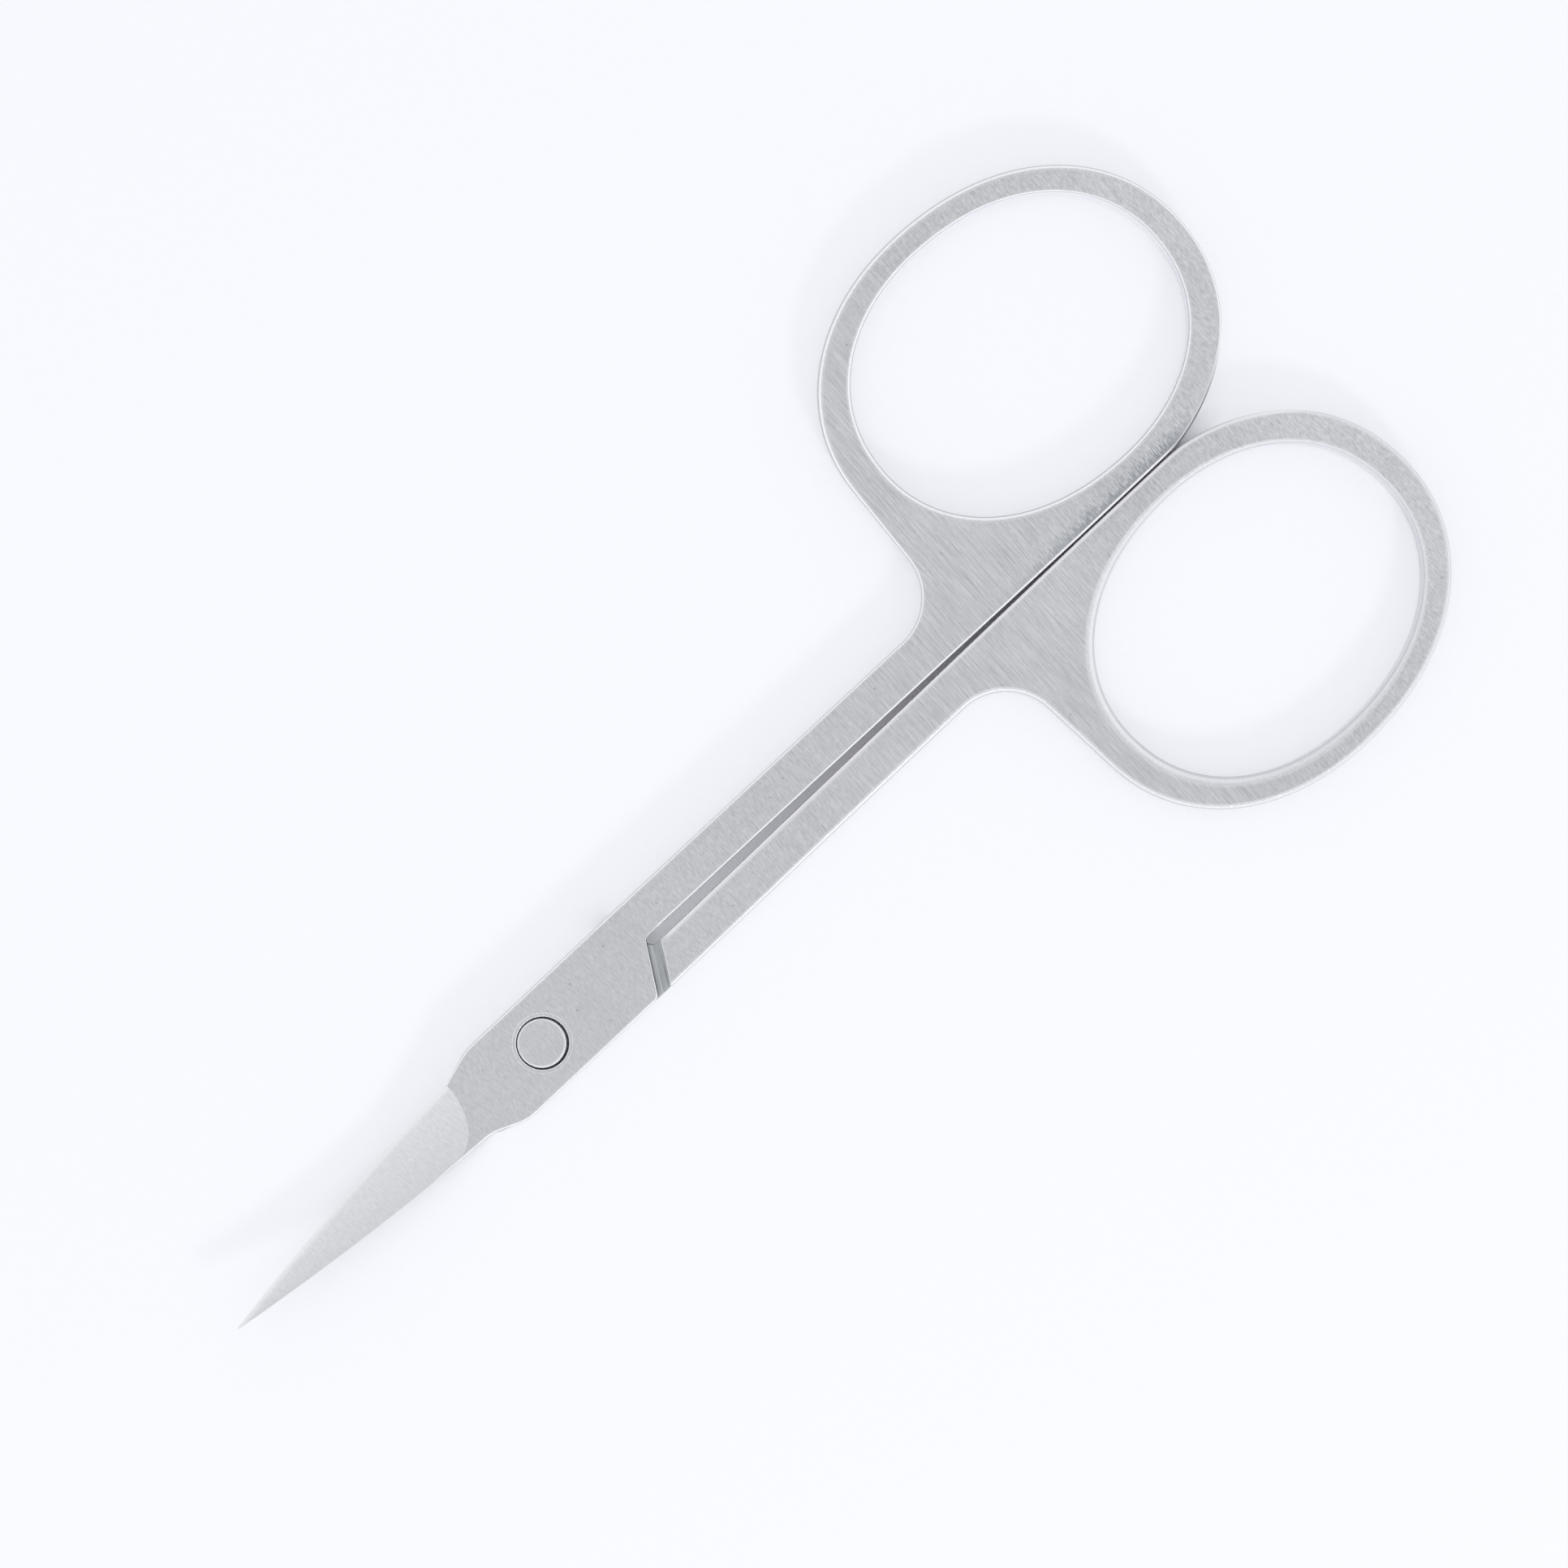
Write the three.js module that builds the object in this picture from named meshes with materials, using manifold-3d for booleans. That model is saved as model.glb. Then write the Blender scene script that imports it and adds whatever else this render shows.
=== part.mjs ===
// Nail scissors: two alike steel halves, crossed in a half-lap and held by one flush rivet.
//
// Millimetres, +Z up. The origin is on the pivot axis, on the surface that the closed scissors lie on.
// The blades point along -X and the finger rings along +X, with the upper half's ring on +Y.
// One half is cut flat, as the upper one. Turned over about the long axis it is the lower one.
// Both blades are then curved upwards.

import * as THREE from 'three';
import { mergeVertices } from 'three/addons/utils/BufferGeometryUtils.js';
import Module from 'manifold-3d';

const wasm = await Module();
wasm.setup();

// Stock, broken edges and running fits
const stockThickness = 2.3;
const edgeBreak = 0.18;
const tipEdgeBreak = 0.03;
const lapClearance = 0.05;
const ringClearance = 0.1;

// Blade, from its heel to its tip, seen from above
const tipReach = 25.8;
const tipWidth = 0.1;
const heelReach = 6.1;
const heelEdge = 2.13;
const heelSpine = 2;
const heelLength = 2.23;
const heelRadius = 3;
const edgeBow = 0.26;
const spineBow = 0.24;

// Ground face of the blade: a land at the cutting edge, a face that rolls up to the spine, a run-out at the heel
const edgeLand = 0.2;
const grindWidth = 4.1;
const grindRoll = 1.5;
const grindSweep = 2.8;
const grindRunOut = 8;

// Hollow of the inner face, which leaves a narrow land along the cutting edge and the spine
const hollowDepth = 0.1;
const hollowRim = 0.02;
const hollowRunOut = 3;

// Upward curve of the blades, which depends on the distance from the pivot alone. Faces that meet at one
// distance have one height at every angle, so the blades keep their running gap as they open.
const curveStart = 6.5;
const curveRadius = 95;

// Half-lap at the pivot: the slanted end of each plate and the shoulder of the other half behind it
const lapWidth = 5.9;
const lapEnd = 9;
const lapSlant = THREE.MathUtils.degToRad(59);
const lapEndRadius = 0.6;
const shoulderGap = 1.05;

// Arm and the slot between the two arms
const slotWidth = 0.74;
const slotLength = 37;
const slotCornerRadius = 0.4;
const armNeckEdge = 2.82;
const neckRadius = 3.8;

// Finger ring: an oval opening in an oval band, set back a little towards the neck and the slot
const ringReach = 51.15;
const ringOpeningLength = 22.3;
const ringOpeningWidth = 18;
const ringEndBand = 2.13;
const ringSideBand = 1.87;
const ringSetBack = new THREE.Vector2(-0.22, -0.19);
const ringTilt = THREE.MathUtils.degToRad(-4);
const ringFullness = 2.13;

// Rivet and its seats
const shankRadius = 1.1;
const headRadius = 1.56;
const headDepth = 0.5;
const headBreak = 0.08;
const tailRadius = 1.5;
const tailDepth = 0.45;
const pivotClearance = 0.05;
const headClearance = 0.14;
const headLift = 0.03;
const tailClearance = 0.02;

// Fineness of the facets
const cornerSteps = 8;
const edgeSteps = 12;
const ringSteps = 80;
const grindSteps = 9;
const hollowSteps = 6;
const roundSteps = 48;

// How far a cutting tool starts outside the steel, how far it lifts where it doesn't cut, and the share of the
// ground face's width by which the grinding passes it on each side
const toolOverrun = 1;
const toolLift = 0.1;
const grindMargin = 0.13;

const lapHalf = lapWidth / 2;
const lapFace = (stockThickness + lapClearance) / 2;
const lapThickness = stockThickness - lapFace;
const lapLean = 1 / Math.tan(lapSlant);
const ringHalf = ringClearance / 2;

// Height of a shallow bow over its chord, from 0 at one end to 0 at the other
const bow = (share) => 4 * share * (1 - share);
const bladeShare = (x) => (-heelReach - x) / (tipReach - heelReach);

function cuttingEdge(x) {
  const share = bladeShare(x);
  return THREE.MathUtils.lerp(heelEdge, tipWidth / 2, share) + edgeBow * bow(share);
}

function spine(x) {
  const share = bladeShare(x);
  return THREE.MathUtils.lerp(-heelSpine, -tipWidth / 2, share) - spineBow * bow(share);
}

function runs(from, to, steps) {
  return Array.from({ length: steps + 1 }, (_, i) => THREE.MathUtils.lerp(from, to, i / steps));
}

const bladeStations = runs(-heelReach, -tipReach, edgeSteps);

// The arc that rounds a corner between two straight edges
function roundCorner(before, corner, after, radius) {
  const toBefore = before.clone().sub(corner).normalize();
  const toAfter = after.clone().sub(corner).normalize();
  const half = Math.acos(toBefore.dot(toAfter)) / 2;
  const middle = toBefore.clone().add(toAfter).normalize();
  const centre = corner.clone().addScaledVector(middle, radius / Math.sin(half));
  const start = corner.clone().addScaledVector(toBefore, radius / Math.tan(half)).sub(centre);
  const side = Math.sign(toBefore.cross(toAfter));
  const sweep = side * (Math.PI - 2 * half);
  return runs(0, sweep, cornerSteps).map((angle) => {
    return start.clone().rotateAround(new THREE.Vector2(), -angle).add(centre);
  });
}

const openingCentre = new THREE.Vector2(ringReach, ringHalf + ringSideBand + ringOpeningWidth / 2);
const bandCentre = openingCentre.clone().add(ringSetBack);

function ovalPoint(centre, halfLength, halfWidth, angle) {
  const power = 2 / ringFullness;
  const along = Math.cos(angle);
  const across = Math.sin(angle);
  const u = halfLength * Math.sign(along) * Math.abs(along) ** power;
  const v = halfWidth * Math.sign(across) * Math.abs(across) ** power;
  return new THREE.Vector2(u, v).rotateAround(new THREE.Vector2(), ringTilt).add(centre);
}

function bandPoint(angle) {
  const halfLength = ringOpeningLength / 2 + ringEndBand;
  const halfWidth = ringOpeningWidth / 2 + ringSideBand;
  return ovalPoint(bandCentre, halfLength, halfWidth, angle);
}

function openingPoint(angle) {
  return ovalPoint(openingCentre, ringOpeningLength / 2, ringOpeningWidth / 2, angle);
}

// The angle at which the band rises from the flat where the two rings meet
function meetingAngle() {
  let low = -Math.PI / 2;
  let high = 0;
  while (high - low > 1e-6) {
    const middle = (low + high) / 2;
    if (bandPoint(middle).y < ringHalf) {
      low = middle;
    } else {
      high = middle;
    }
  }
  return high;
}

// Outline of one half from above, counter-clockwise from the tip: spine, lap, slot, ring, arm and cutting edge
function halfOutline() {
  const point = (x, y) => new THREE.Vector2(x, y);
  const lapStart = heelLength - heelReach;
  const spineRun = bladeStations.slice(1).reverse().map((x) => point(x, spine(x)));
  const edgeRun = bladeStations.map((x) => point(x, cuttingEdge(x)));
  const spineHeel = point(-heelReach, spine(-heelReach));
  const spineLap = point(lapStart, -lapHalf);
  const lapOuter = point(lapEnd - lapHalf * lapLean, -lapHalf);
  const slotStart = point(lapEnd + slotWidth / 2 * lapLean, slotWidth / 2);
  const slotEnd = point(lapEnd + slotLength, ringHalf);
  const ringRun = runs(meetingAngle(), Math.PI, ringSteps).map(bandPoint);
  const ringBack = ringRun.at(-1);
  const armRoot = point(lapEnd + shoulderGap - lapHalf * lapLean, lapHalf);
  const neckDrop = ringBack.y - armNeckEdge;
  const neck = point(ringBack.x + neckDrop * Math.tan(ringTilt), armNeckEdge);
  const edgeLap = point(lapStart, lapHalf);
  return [
    ...spineRun,
    ...roundCorner(spineRun.at(-1), spineHeel, spineLap, heelRadius),
    ...roundCorner(spineHeel, spineLap, lapOuter, heelRadius),
    ...roundCorner(spineLap, lapOuter, slotStart, lapEndRadius),
    ...roundCorner(lapOuter, slotStart, slotEnd, slotCornerRadius),
    slotEnd,
    ...ringRun,
    ...roundCorner(ringBack, neck, armRoot, neckRadius),
    armRoot,
    ...roundCorner(armRoot, edgeLap, edgeRun[0], heelRadius),
    ...edgeRun,
  ];
}

// A flat plate with broken edges. Steel lies on the left of the outline and of the opening. Each level of the
// wall is drawn in or not, is at the bottom or the top, and lies off it by so many breaks.
function plate(outline, opening) {
  const levels = [[1, 0, 0], [0, 0, 1], [0, 1, -1], [1, 1, 0]];
  const position = [];
  const index = [];
  const insets = [outline, opening].map((contour) => {
    const first = position.length / 3;
    return contour.map((at, i) => {
      const before = contour.at(i - 1);
      const after = contour[(i + 1) % contour.length];
      const normalIn = at.clone().sub(before).normalize();
      const normalOut = after.clone().sub(at).normalize();
      normalIn.set(-normalIn.y, normalIn.x);
      normalOut.set(-normalOut.y, normalOut.x);
      const turn = 1 + normalIn.dot(normalOut);
      const inward = normalIn.add(normalOut).divideScalar(turn);
      const share = THREE.MathUtils.clamp(bladeShare(at.x), 0, 1);
      const size = THREE.MathUtils.lerp(edgeBreak, tipEdgeBreak, share);
      const inset = at.clone().addScaledVector(inward, size);
      for (const [isInset, isTop, rise] of levels) {
        const flat = isInset ? inset : at;
        position.push(flat.x, flat.y, isTop * stockThickness + rise * size);
      }
      const here = first + i * levels.length;
      const next = first + ((i + 1) % contour.length) * levels.length;
      for (let level = 0; level + 1 < levels.length; level += 1) {
        index.push(here + level, next + level, next + level + 1);
        index.push(here + level, next + level + 1, here + level + 1);
      }
      return inset;
    });
  });
  const top = levels.length - 1;
  for (const [a, b, c] of THREE.ShapeUtils.triangulateShape(insets[0], [insets[1]])) {
    index.push(a * levels.length + top, b * levels.length + top, c * levels.length + top);
    index.push(c * levels.length, b * levels.length, a * levels.length);
  }
  const geometry = new THREE.BufferGeometry();
  geometry.setAttribute('position', new THREE.Float32BufferAttribute(position, 3));
  geometry.setIndex(index);
  return geometry;
}

// The space that the grinding takes off the blade: its underside is the ground face
function grindingSpace() {
  const depthAtEdge = lapThickness - edgeLand;
  const length = tipReach - heelReach + toolOverrun;
  const alongs = runs(0, 1, edgeSteps).map((share) => share * share * length);
  const acrosses = runs(-grindMargin, 1 + grindMargin, grindSteps);
  const position = [];
  for (const along of [-toolOverrun, ...alongs.slice(1)]) {
    for (const across of acrosses) {
      const reach = Math.sqrt(1 - THREE.MathUtils.clamp(across, 0, 1) ** 2);
      const x = -heelReach - grindSweep * (1 - reach) - along;
      const y = cuttingEdge(x) - across * grindWidth;
      const roll = Math.max(1 - across, 0) ** grindRoll;
      const left = Math.max(1 - along / grindRunOut, 0);
      const depth = depthAtEdge * roll * (1 - left ** 2);
      const isClear = along < 0 || across >= 1;
      position.push(x, y, stockThickness + (isClear ? toolLift : -depth));
      position.push(x, y, stockThickness + toolOverrun);
    }
  }
  return gridSolid(position, alongs.length, acrosses.length);
}

// The space that the hollow takes off the blade's inner face. It fades out where the blade gets narrow.
function hollowSpace() {
  const widest = heelEdge + heelSpine;
  const position = [];
  for (const x of bladeStations) {
    const width = cuttingEdge(x) - spine(x);
    const runOut = Math.min((-heelReach - x) / hollowRunOut, 1);
    for (const share of runs(0, 1, hollowSteps)) {
      const y = cuttingEdge(x) - share * width;
      const depth = hollowDepth * bow(share) * runOut * (width / widest) ** 2;
      position.push(x, y, lapFace - toolOverrun / 2);
      position.push(x, y, lapFace + depth - hollowRim);
    }
  }
  return gridSolid(position, bladeStations.length, hollowSteps + 1);
}

// A closed solid between a grid of lower points and a grid of upper points, given in turns
function gridSolid(position, columns, rows) {
  const at = (column, row, isUpper) => 2 * (column * rows + row) + isUpper;
  const index = [];
  const quad = (a, b, c, d) => index.push(a, b, c, a, c, d);
  for (let i = 0; i + 1 < columns; i += 1) {
    for (let j = 0; j + 1 < rows; j += 1) {
      quad(at(i, j, 1), at(i + 1, j, 1), at(i + 1, j + 1, 1), at(i, j + 1, 1));
      quad(at(i, j + 1, 0), at(i + 1, j + 1, 0), at(i + 1, j, 0), at(i, j, 0));
    }
    quad(at(i, 0, 0), at(i + 1, 0, 0), at(i + 1, 0, 1), at(i, 0, 1));
    quad(at(i, rows - 1, 1), at(i + 1, rows - 1, 1), at(i + 1, rows - 1, 0), at(i, rows - 1, 0));
  }
  for (let j = 0; j + 1 < rows; j += 1) {
    quad(at(0, j, 1), at(0, j + 1, 1), at(0, j + 1, 0), at(0, j, 0));
    quad(at(columns - 1, j, 0), at(columns - 1, j + 1, 0), at(columns - 1, j + 1, 1), at(columns - 1, j, 1));
  }
  const geometry = new THREE.BufferGeometry();
  geometry.setAttribute('position', new THREE.Float32BufferAttribute(position, 3));
  geometry.setIndex(index);
  return geometry;
}

// The space under the lap plate and the blade, back to the slanted shoulder
function lapSpace() {
  const side = lapHalf + toolOverrun;
  const back = lapEnd + shoulderGap;
  const shape = new THREE.Shape([
    new THREE.Vector2(-tipReach - toolOverrun, -side),
    new THREE.Vector2(back + side * lapLean, -side),
    new THREE.Vector2(back - side * lapLean, side),
    new THREE.Vector2(-tipReach - toolOverrun, side),
  ]);
  const geometry = new THREE.ExtrudeGeometry(shape, { depth: lapFace + toolOverrun, bevelEnabled: false });
  return geometry.translate(0, 0, -toolOverrun);
}

// A turned solid about the pivot axis, from radius and height pairs that start and end on the axis
function turned(profile) {
  const points = profile.map(([radius, height]) => new THREE.Vector2(radius, height));
  return new THREE.LatheGeometry(points, roundSteps).rotateX(Math.PI / 2);
}

function headSeat() {
  const bore = shankRadius + pivotClearance;
  const counterbore = headRadius + headClearance;
  const floor = stockThickness - headDepth - headLift;
  const above = stockThickness + toolOverrun;
  return turned([[0, 0], [bore, 0], [bore, floor], [counterbore, floor], [counterbore, above], [0, above]]);
}

function tailSeat() {
  const bore = shankRadius + tailClearance;
  const mouth = tailRadius + tailClearance;
  return turned([
    [0, -toolOverrun],
    [mouth, -toolOverrun],
    [mouth, 0],
    [bore, tailDepth],
    [bore, stockThickness],
    [0, stockThickness],
  ]);
}

function rivet() {
  const underHead = stockThickness - headDepth;
  return turned([
    [0, 0],
    [tailRadius, 0],
    [shankRadius, tailDepth],
    [shankRadius, underHead],
    [headRadius, underHead],
    [headRadius, stockThickness - headBreak],
    [headRadius - headBreak, stockThickness],
    [0, stockThickness],
  ]);
}

function solid(geometry) {
  const bare = geometry.clone();
  bare.deleteAttribute('normal');
  bare.deleteAttribute('uv');
  const merged = mergeVertices(bare);
  return new wasm.Manifold(new wasm.Mesh({
    numProp: 3,
    vertProperties: new Float32Array(merged.attributes.position.array),
    triVerts: new Uint32Array(merged.index.array),
  }));
}

function geometryOf(manifold) {
  const mesh = manifold.getMesh();
  const geometry = new THREE.BufferGeometry();
  geometry.setAttribute('position', new THREE.BufferAttribute(new Float32Array(mesh.vertProperties), 3));
  geometry.setIndex(new THREE.BufferAttribute(new Uint32Array(mesh.triVerts), 1));
  return geometry;
}

function flatHalf() {
  const opening = runs(2 * Math.PI, 0, ringSteps).slice(1).map(openingPoint);
  const blank = solid(plate(halfOutline(), opening));
  const underside = solid(lapSpace()).add(solid(hollowSpace()));
  return geometryOf(blank.subtract(underside).subtract(solid(grindingSpace())));
}

// Cuts the triangles of a mesh along a plane across X, so that the mesh can be curved there
function sliceAcross(triangles, x) {
  const snap = 1e-3;
  const between = (a, b) => {
    const [low, high] = a.x < b.x ? [a, b] : [b, a];
    const point = low.clone().lerp(high, (x - low.x) / (high.x - low.x));
    point.x = x;
    return point;
  };
  const side = (p) => (Math.abs(p.x - x) < snap ? 0 : Math.sign(p.x - x));
  return triangles.flatMap((triangle) => {
    const sides = triangle.map(side);
    if (!sides.includes(1) || !sides.includes(-1)) {
      return [triangle];
    }
    const alone = sides.includes(0)
      ? sides.indexOf(0)
      : sides.findIndex((s, i) => s !== sides[(i + 1) % 3] && s !== sides[(i + 2) % 3]);
    const [a, b, c] = [0, 1, 2].map((i) => triangle[(alone + i) % 3]);
    if (sides.includes(0)) {
      const middle = between(b, c);
      return [[a, b, middle], [a, middle, c]];
    }
    const ab = between(a, b);
    const ac = between(a, c);
    return [[a, ab, ac], [ab, b, c], [ab, c, ac]];
  });
}

// Curves a flat half's blade upwards
function curved(geometry) {
  const flat = geometry.toNonIndexed().attributes.position;
  let triangles = [];
  for (let i = 0; i < flat.count; i += 3) {
    triangles.push([0, 1, 2].map((k) => new THREE.Vector3().fromBufferAttribute(flat, i + k)));
  }
  for (const x of bladeStations) {
    triangles = sliceAcross(triangles, x);
  }
  const position = triangles.flat().flatMap((p) => {
    const past = p.x < 0 ? Math.max(Math.hypot(p.x, p.y) - curveStart, 0) : 0;
    return [p.x, p.y, p.z + past ** 2 / (2 * curveRadius)];
  });
  const lifted = new THREE.BufferGeometry();
  lifted.setAttribute('position', new THREE.Float32BufferAttribute(position, 3));
  lifted.computeVertexNormals();
  return lifted;
}

function upperBlade() {
  return curved(geometryOf(solid(flatHalf()).subtract(solid(headSeat()))));
}

function lowerBlade() {
  const over = flatHalf().rotateX(Math.PI).translate(0, 0, stockThickness);
  return curved(geometryOf(solid(over).subtract(solid(tailSeat()))));
}

function named(name, geometry, color, roughness) {
  const material = new THREE.MeshStandardMaterial({ color, roughness, metalness: 1 });
  const mesh = new THREE.Mesh(geometry, material);
  mesh.name = name;
  return mesh;
}

const scissors = new THREE.Group();
scissors.add(named('upper_blade', upperBlade(), 0xc2c6c9, 0.34));
scissors.add(named('lower_blade', lowerBlade(), 0xbec2c5, 0.34));
scissors.add(named('pivot_rivet', rivet(), 0xc6c9cb, 0.3));

export default scissors;
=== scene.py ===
# %% [markdown]
# Nail scissors in stainless steel. The CAD frame gives the bodies, the pivot and the sizes, and this lesson
# dresses it: each half is modelled again with rounded edges, a ground blade and a milled half-lap, and gets
# the finishes that the real steel shows. Everything is modelled in millimetres, because Blender's tools
# have tolerances that suit such numbers, and is scaled to metres at the end.

# %% Load the frame
import cmath
import math

import bpy
from mathutils import Matrix, Vector


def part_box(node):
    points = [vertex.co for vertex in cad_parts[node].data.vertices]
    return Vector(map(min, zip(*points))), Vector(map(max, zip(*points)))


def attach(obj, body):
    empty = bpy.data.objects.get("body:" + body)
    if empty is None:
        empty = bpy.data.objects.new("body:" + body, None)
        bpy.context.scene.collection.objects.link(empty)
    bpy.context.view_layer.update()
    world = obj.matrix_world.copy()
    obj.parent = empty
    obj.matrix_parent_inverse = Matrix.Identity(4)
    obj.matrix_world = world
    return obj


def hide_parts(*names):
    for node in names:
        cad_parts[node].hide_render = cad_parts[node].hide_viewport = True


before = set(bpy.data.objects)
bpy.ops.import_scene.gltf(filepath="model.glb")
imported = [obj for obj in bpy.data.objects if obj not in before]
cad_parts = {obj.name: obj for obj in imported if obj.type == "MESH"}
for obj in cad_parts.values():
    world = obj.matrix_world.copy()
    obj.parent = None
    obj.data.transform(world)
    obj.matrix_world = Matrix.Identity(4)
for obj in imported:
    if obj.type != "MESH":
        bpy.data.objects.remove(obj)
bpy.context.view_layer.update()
MM = 0.001
print("CAD nodes:", sorted(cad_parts))

# %% [markdown]
# The photograph is taken from straight above, at arm's length. A long lens keeps the rings' walls almost
# out of sight. The scissors lie turned in the picture, so the camera is turned the other way instead of the
# object, which has to stay in its CAD frame.

# %% Camera
PICTURE_WIDTH = 97.74
PICTURE_CENTRE = (22.08, 1.44)
PICTURE_TURN = math.radians(-43.2)
CAMERA_DISTANCE = 300
SENSOR_WIDTH = 36

rivet_low, rivet_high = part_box("pivot_rivet")
STOCK = (rivet_high.z - rivet_low.z) / MM

camera_data = bpy.data.cameras.new("overhead_camera")
camera_data.sensor_width = SENSOR_WIDTH
camera_data.lens = SENSOR_WIDTH * CAMERA_DISTANCE / PICTURE_WIDTH
camera = bpy.data.objects.new("overhead_camera", camera_data)
camera.location = Vector((*PICTURE_CENTRE, STOCK + CAMERA_DISTANCE)) * MM
camera.rotation_euler = (0, 0, PICTURE_TURN)
bpy.context.scene.collection.objects.link(camera)
bpy.context.scene.camera = camera
print("Lens, mm:", round(camera_data.lens, 1), "stock, mm:", round(STOCK, 3))

# %% [markdown]
# A material is a small graph of nodes. One function adds a node, sets what it needs and links what feeds
# it, so that each finish below reads as a list. Colours are written as sRGB hex, as a colour picker shows
# them, and turned to the linear values that the shader works in.


# %% Helpers for nodes and colours
def linear(hex_colour):
    channels = [int(hex_colour[i:i + 2], 16) / 255 for i in (1, 3, 5)]
    return [c / 12.92 if c <= 0.04045 else ((c + 0.055) / 1.055) ** 2.4 for c in channels] + [1]


def add_node(tree, kind, links=(), **settings):
    made = tree.nodes.new(kind)
    for name, value in settings.items():
        setattr(made, name, value)
    for socket, source in dict(links).items():
        if isinstance(source, bpy.types.NodeSocket):
            tree.links.new(source, made.inputs[socket])
        else:
            made.inputs[socket].default_value = source
    return made


print("#808080 in linear light:", [round(c, 3) for c in linear("#808080")])

# %% [markdown]
# The set is a white table in a white tent, as for a catalogue picture. The tent is the world: almost even
# light from every side, a touch weaker at the walls than overhead. Steel is a mirror, if a blurred one, so
# this is what gives it its greys. The camera itself sees plain white behind the table.

# %% Tent
TENT_ZENITH = 1.0
TENT_WALL = 0.97
TENT_SHOULDER = 0.85
BACKGROUND = "#F9FAFF"

tent = bpy.data.worlds.new("white_tent")
tent.use_nodes = True
tree = tent.node_tree
tree.nodes.clear()
direction = add_node(tree, "ShaderNodeTexCoord")
height = add_node(tree, "ShaderNodeSeparateXYZ", {0: direction.outputs["Generated"]})
level = add_node(tree, "ShaderNodeMapRange", {
    "Value": height.outputs["Z"], "From Min": 0.0, "From Max": TENT_SHOULDER,
    "To Min": TENT_WALL, "To Max": TENT_ZENITH,
}, interpolation_type="SMOOTHSTEP")
light = add_node(tree, "ShaderNodeBackground", {"Color": linear("#FFFFFF"), "Strength": level.outputs[0]})
seen = add_node(tree, "ShaderNodeBackground", {"Color": linear(BACKGROUND), "Strength": 1.0})
ray = add_node(tree, "ShaderNodeLightPath")
both = add_node(tree, "ShaderNodeMixShader", {
    0: ray.outputs["Is Camera Ray"], 1: light.outputs[0], 2: seen.outputs[0],
})
add_node(tree, "ShaderNodeOutputWorld", {"Surface": both.outputs[0]})
bpy.context.scene.world = tent
bpy.context.scene.view_settings.view_transform = "Standard"
print("Tent from", TENT_ZENITH, "overhead to", TENT_WALL, "at its walls")

# %% [markdown]
# One soft lamp stands low on the side of the lower half. It gives the faint shadow its direction, and white
# lines to the rims that face it. Its place comes from the shadow: how far an edge's shadow lies from the
# edge, for each millimetre that the edge is above the table.

# %% Lamp
LAMP_FROM = Vector((-0.34, -1.60, 1.0)).normalized()
LAMP_DISTANCE = 0.6
LAMP_SIZE = 0.1
LAMP_POWER = 0.75

lamp_data = bpy.data.lights.new("soft_lamp", "AREA")
lamp_data.shape = "DISK"
lamp_data.size = LAMP_SIZE
lamp_data.energy = LAMP_POWER
lamp = bpy.data.objects.new("soft_lamp", lamp_data)
lamp.location = Vector((*PICTURE_CENTRE, 0)) * MM + LAMP_FROM * LAMP_DISTANCE
lamp.rotation_euler = (-LAMP_FROM).to_track_quat("-Z", "Y").to_euler()
lamp.visible_camera = False
bpy.context.scene.collection.objects.link(lamp)
print("Lamp at, m:", [round(c, 3) for c in lamp.location])

# %% [markdown]
# The table is one large plane, a hair below the steel. Its card is matt, so it has no reflection of its
# own, and a faint grain of fibres keeps it from being one flat number.

# %% Table
FLOOR_SIZE = 6
FLOOR_DROP = 0.02 * MM
FIBRE_SIZE = 0.4
CARD_ROUGHNESS = 0.9

bpy.ops.object.select_all(action="DESELECT")
bpy.ops.mesh.primitive_plane_add(size=FLOOR_SIZE, location=(0, 0, -FLOOR_DROP))
table = bpy.context.object
table.name = "white_table"
card = bpy.data.materials.new("matt_white_card")
card.use_nodes = True
table.data.materials.append(card)
tree = card.node_tree
shader = tree.nodes["Principled BSDF"]
place = add_node(tree, "ShaderNodeTexCoord")
fibres = add_node(tree, "ShaderNodeTexNoise", {
    "Vector": place.outputs["Object"], "Scale": 1 / (FIBRE_SIZE * MM), "Detail": 2.0,
})
tone = add_node(tree, "ShaderNodeValToRGB", {"Fac": fibres.outputs[0]})
for element, colour in zip(tone.color_ramp.elements, ("#EEEFF4", "#F1F2F7")):
    element.color = linear(colour)
shader.inputs["Roughness"].default_value = CARD_ROUGHNESS
shader.inputs["Specular IOR Level"].default_value = 0.0
tree.links.new(tone.outputs[0], shader.inputs["Base Color"])
print("Table:", FLOOR_SIZE, "m square")

# %% [markdown]
# A catalogue picture is exposed for the steel, and the card is then so bright that only the deepest part of
# a shadow is left. The camera therefore sees the card mixed with plain white, while the steel still mirrors
# the card as it is. In the slot between the arms little light reaches the card, so the share of white falls
# there, the more so the narrower the slot gets: painted shade, set by position.

# %% White that the camera sees
WHITE_SHARE = 0.5
SLOT_SHARE = 0.33
SLOT_DARK = 38.0
SLOT_SIDE, SLOT_BESIDE = 0.42, 0.63
MOUTH_FROM, MOUTH_END = 54.5, 58.5

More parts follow.
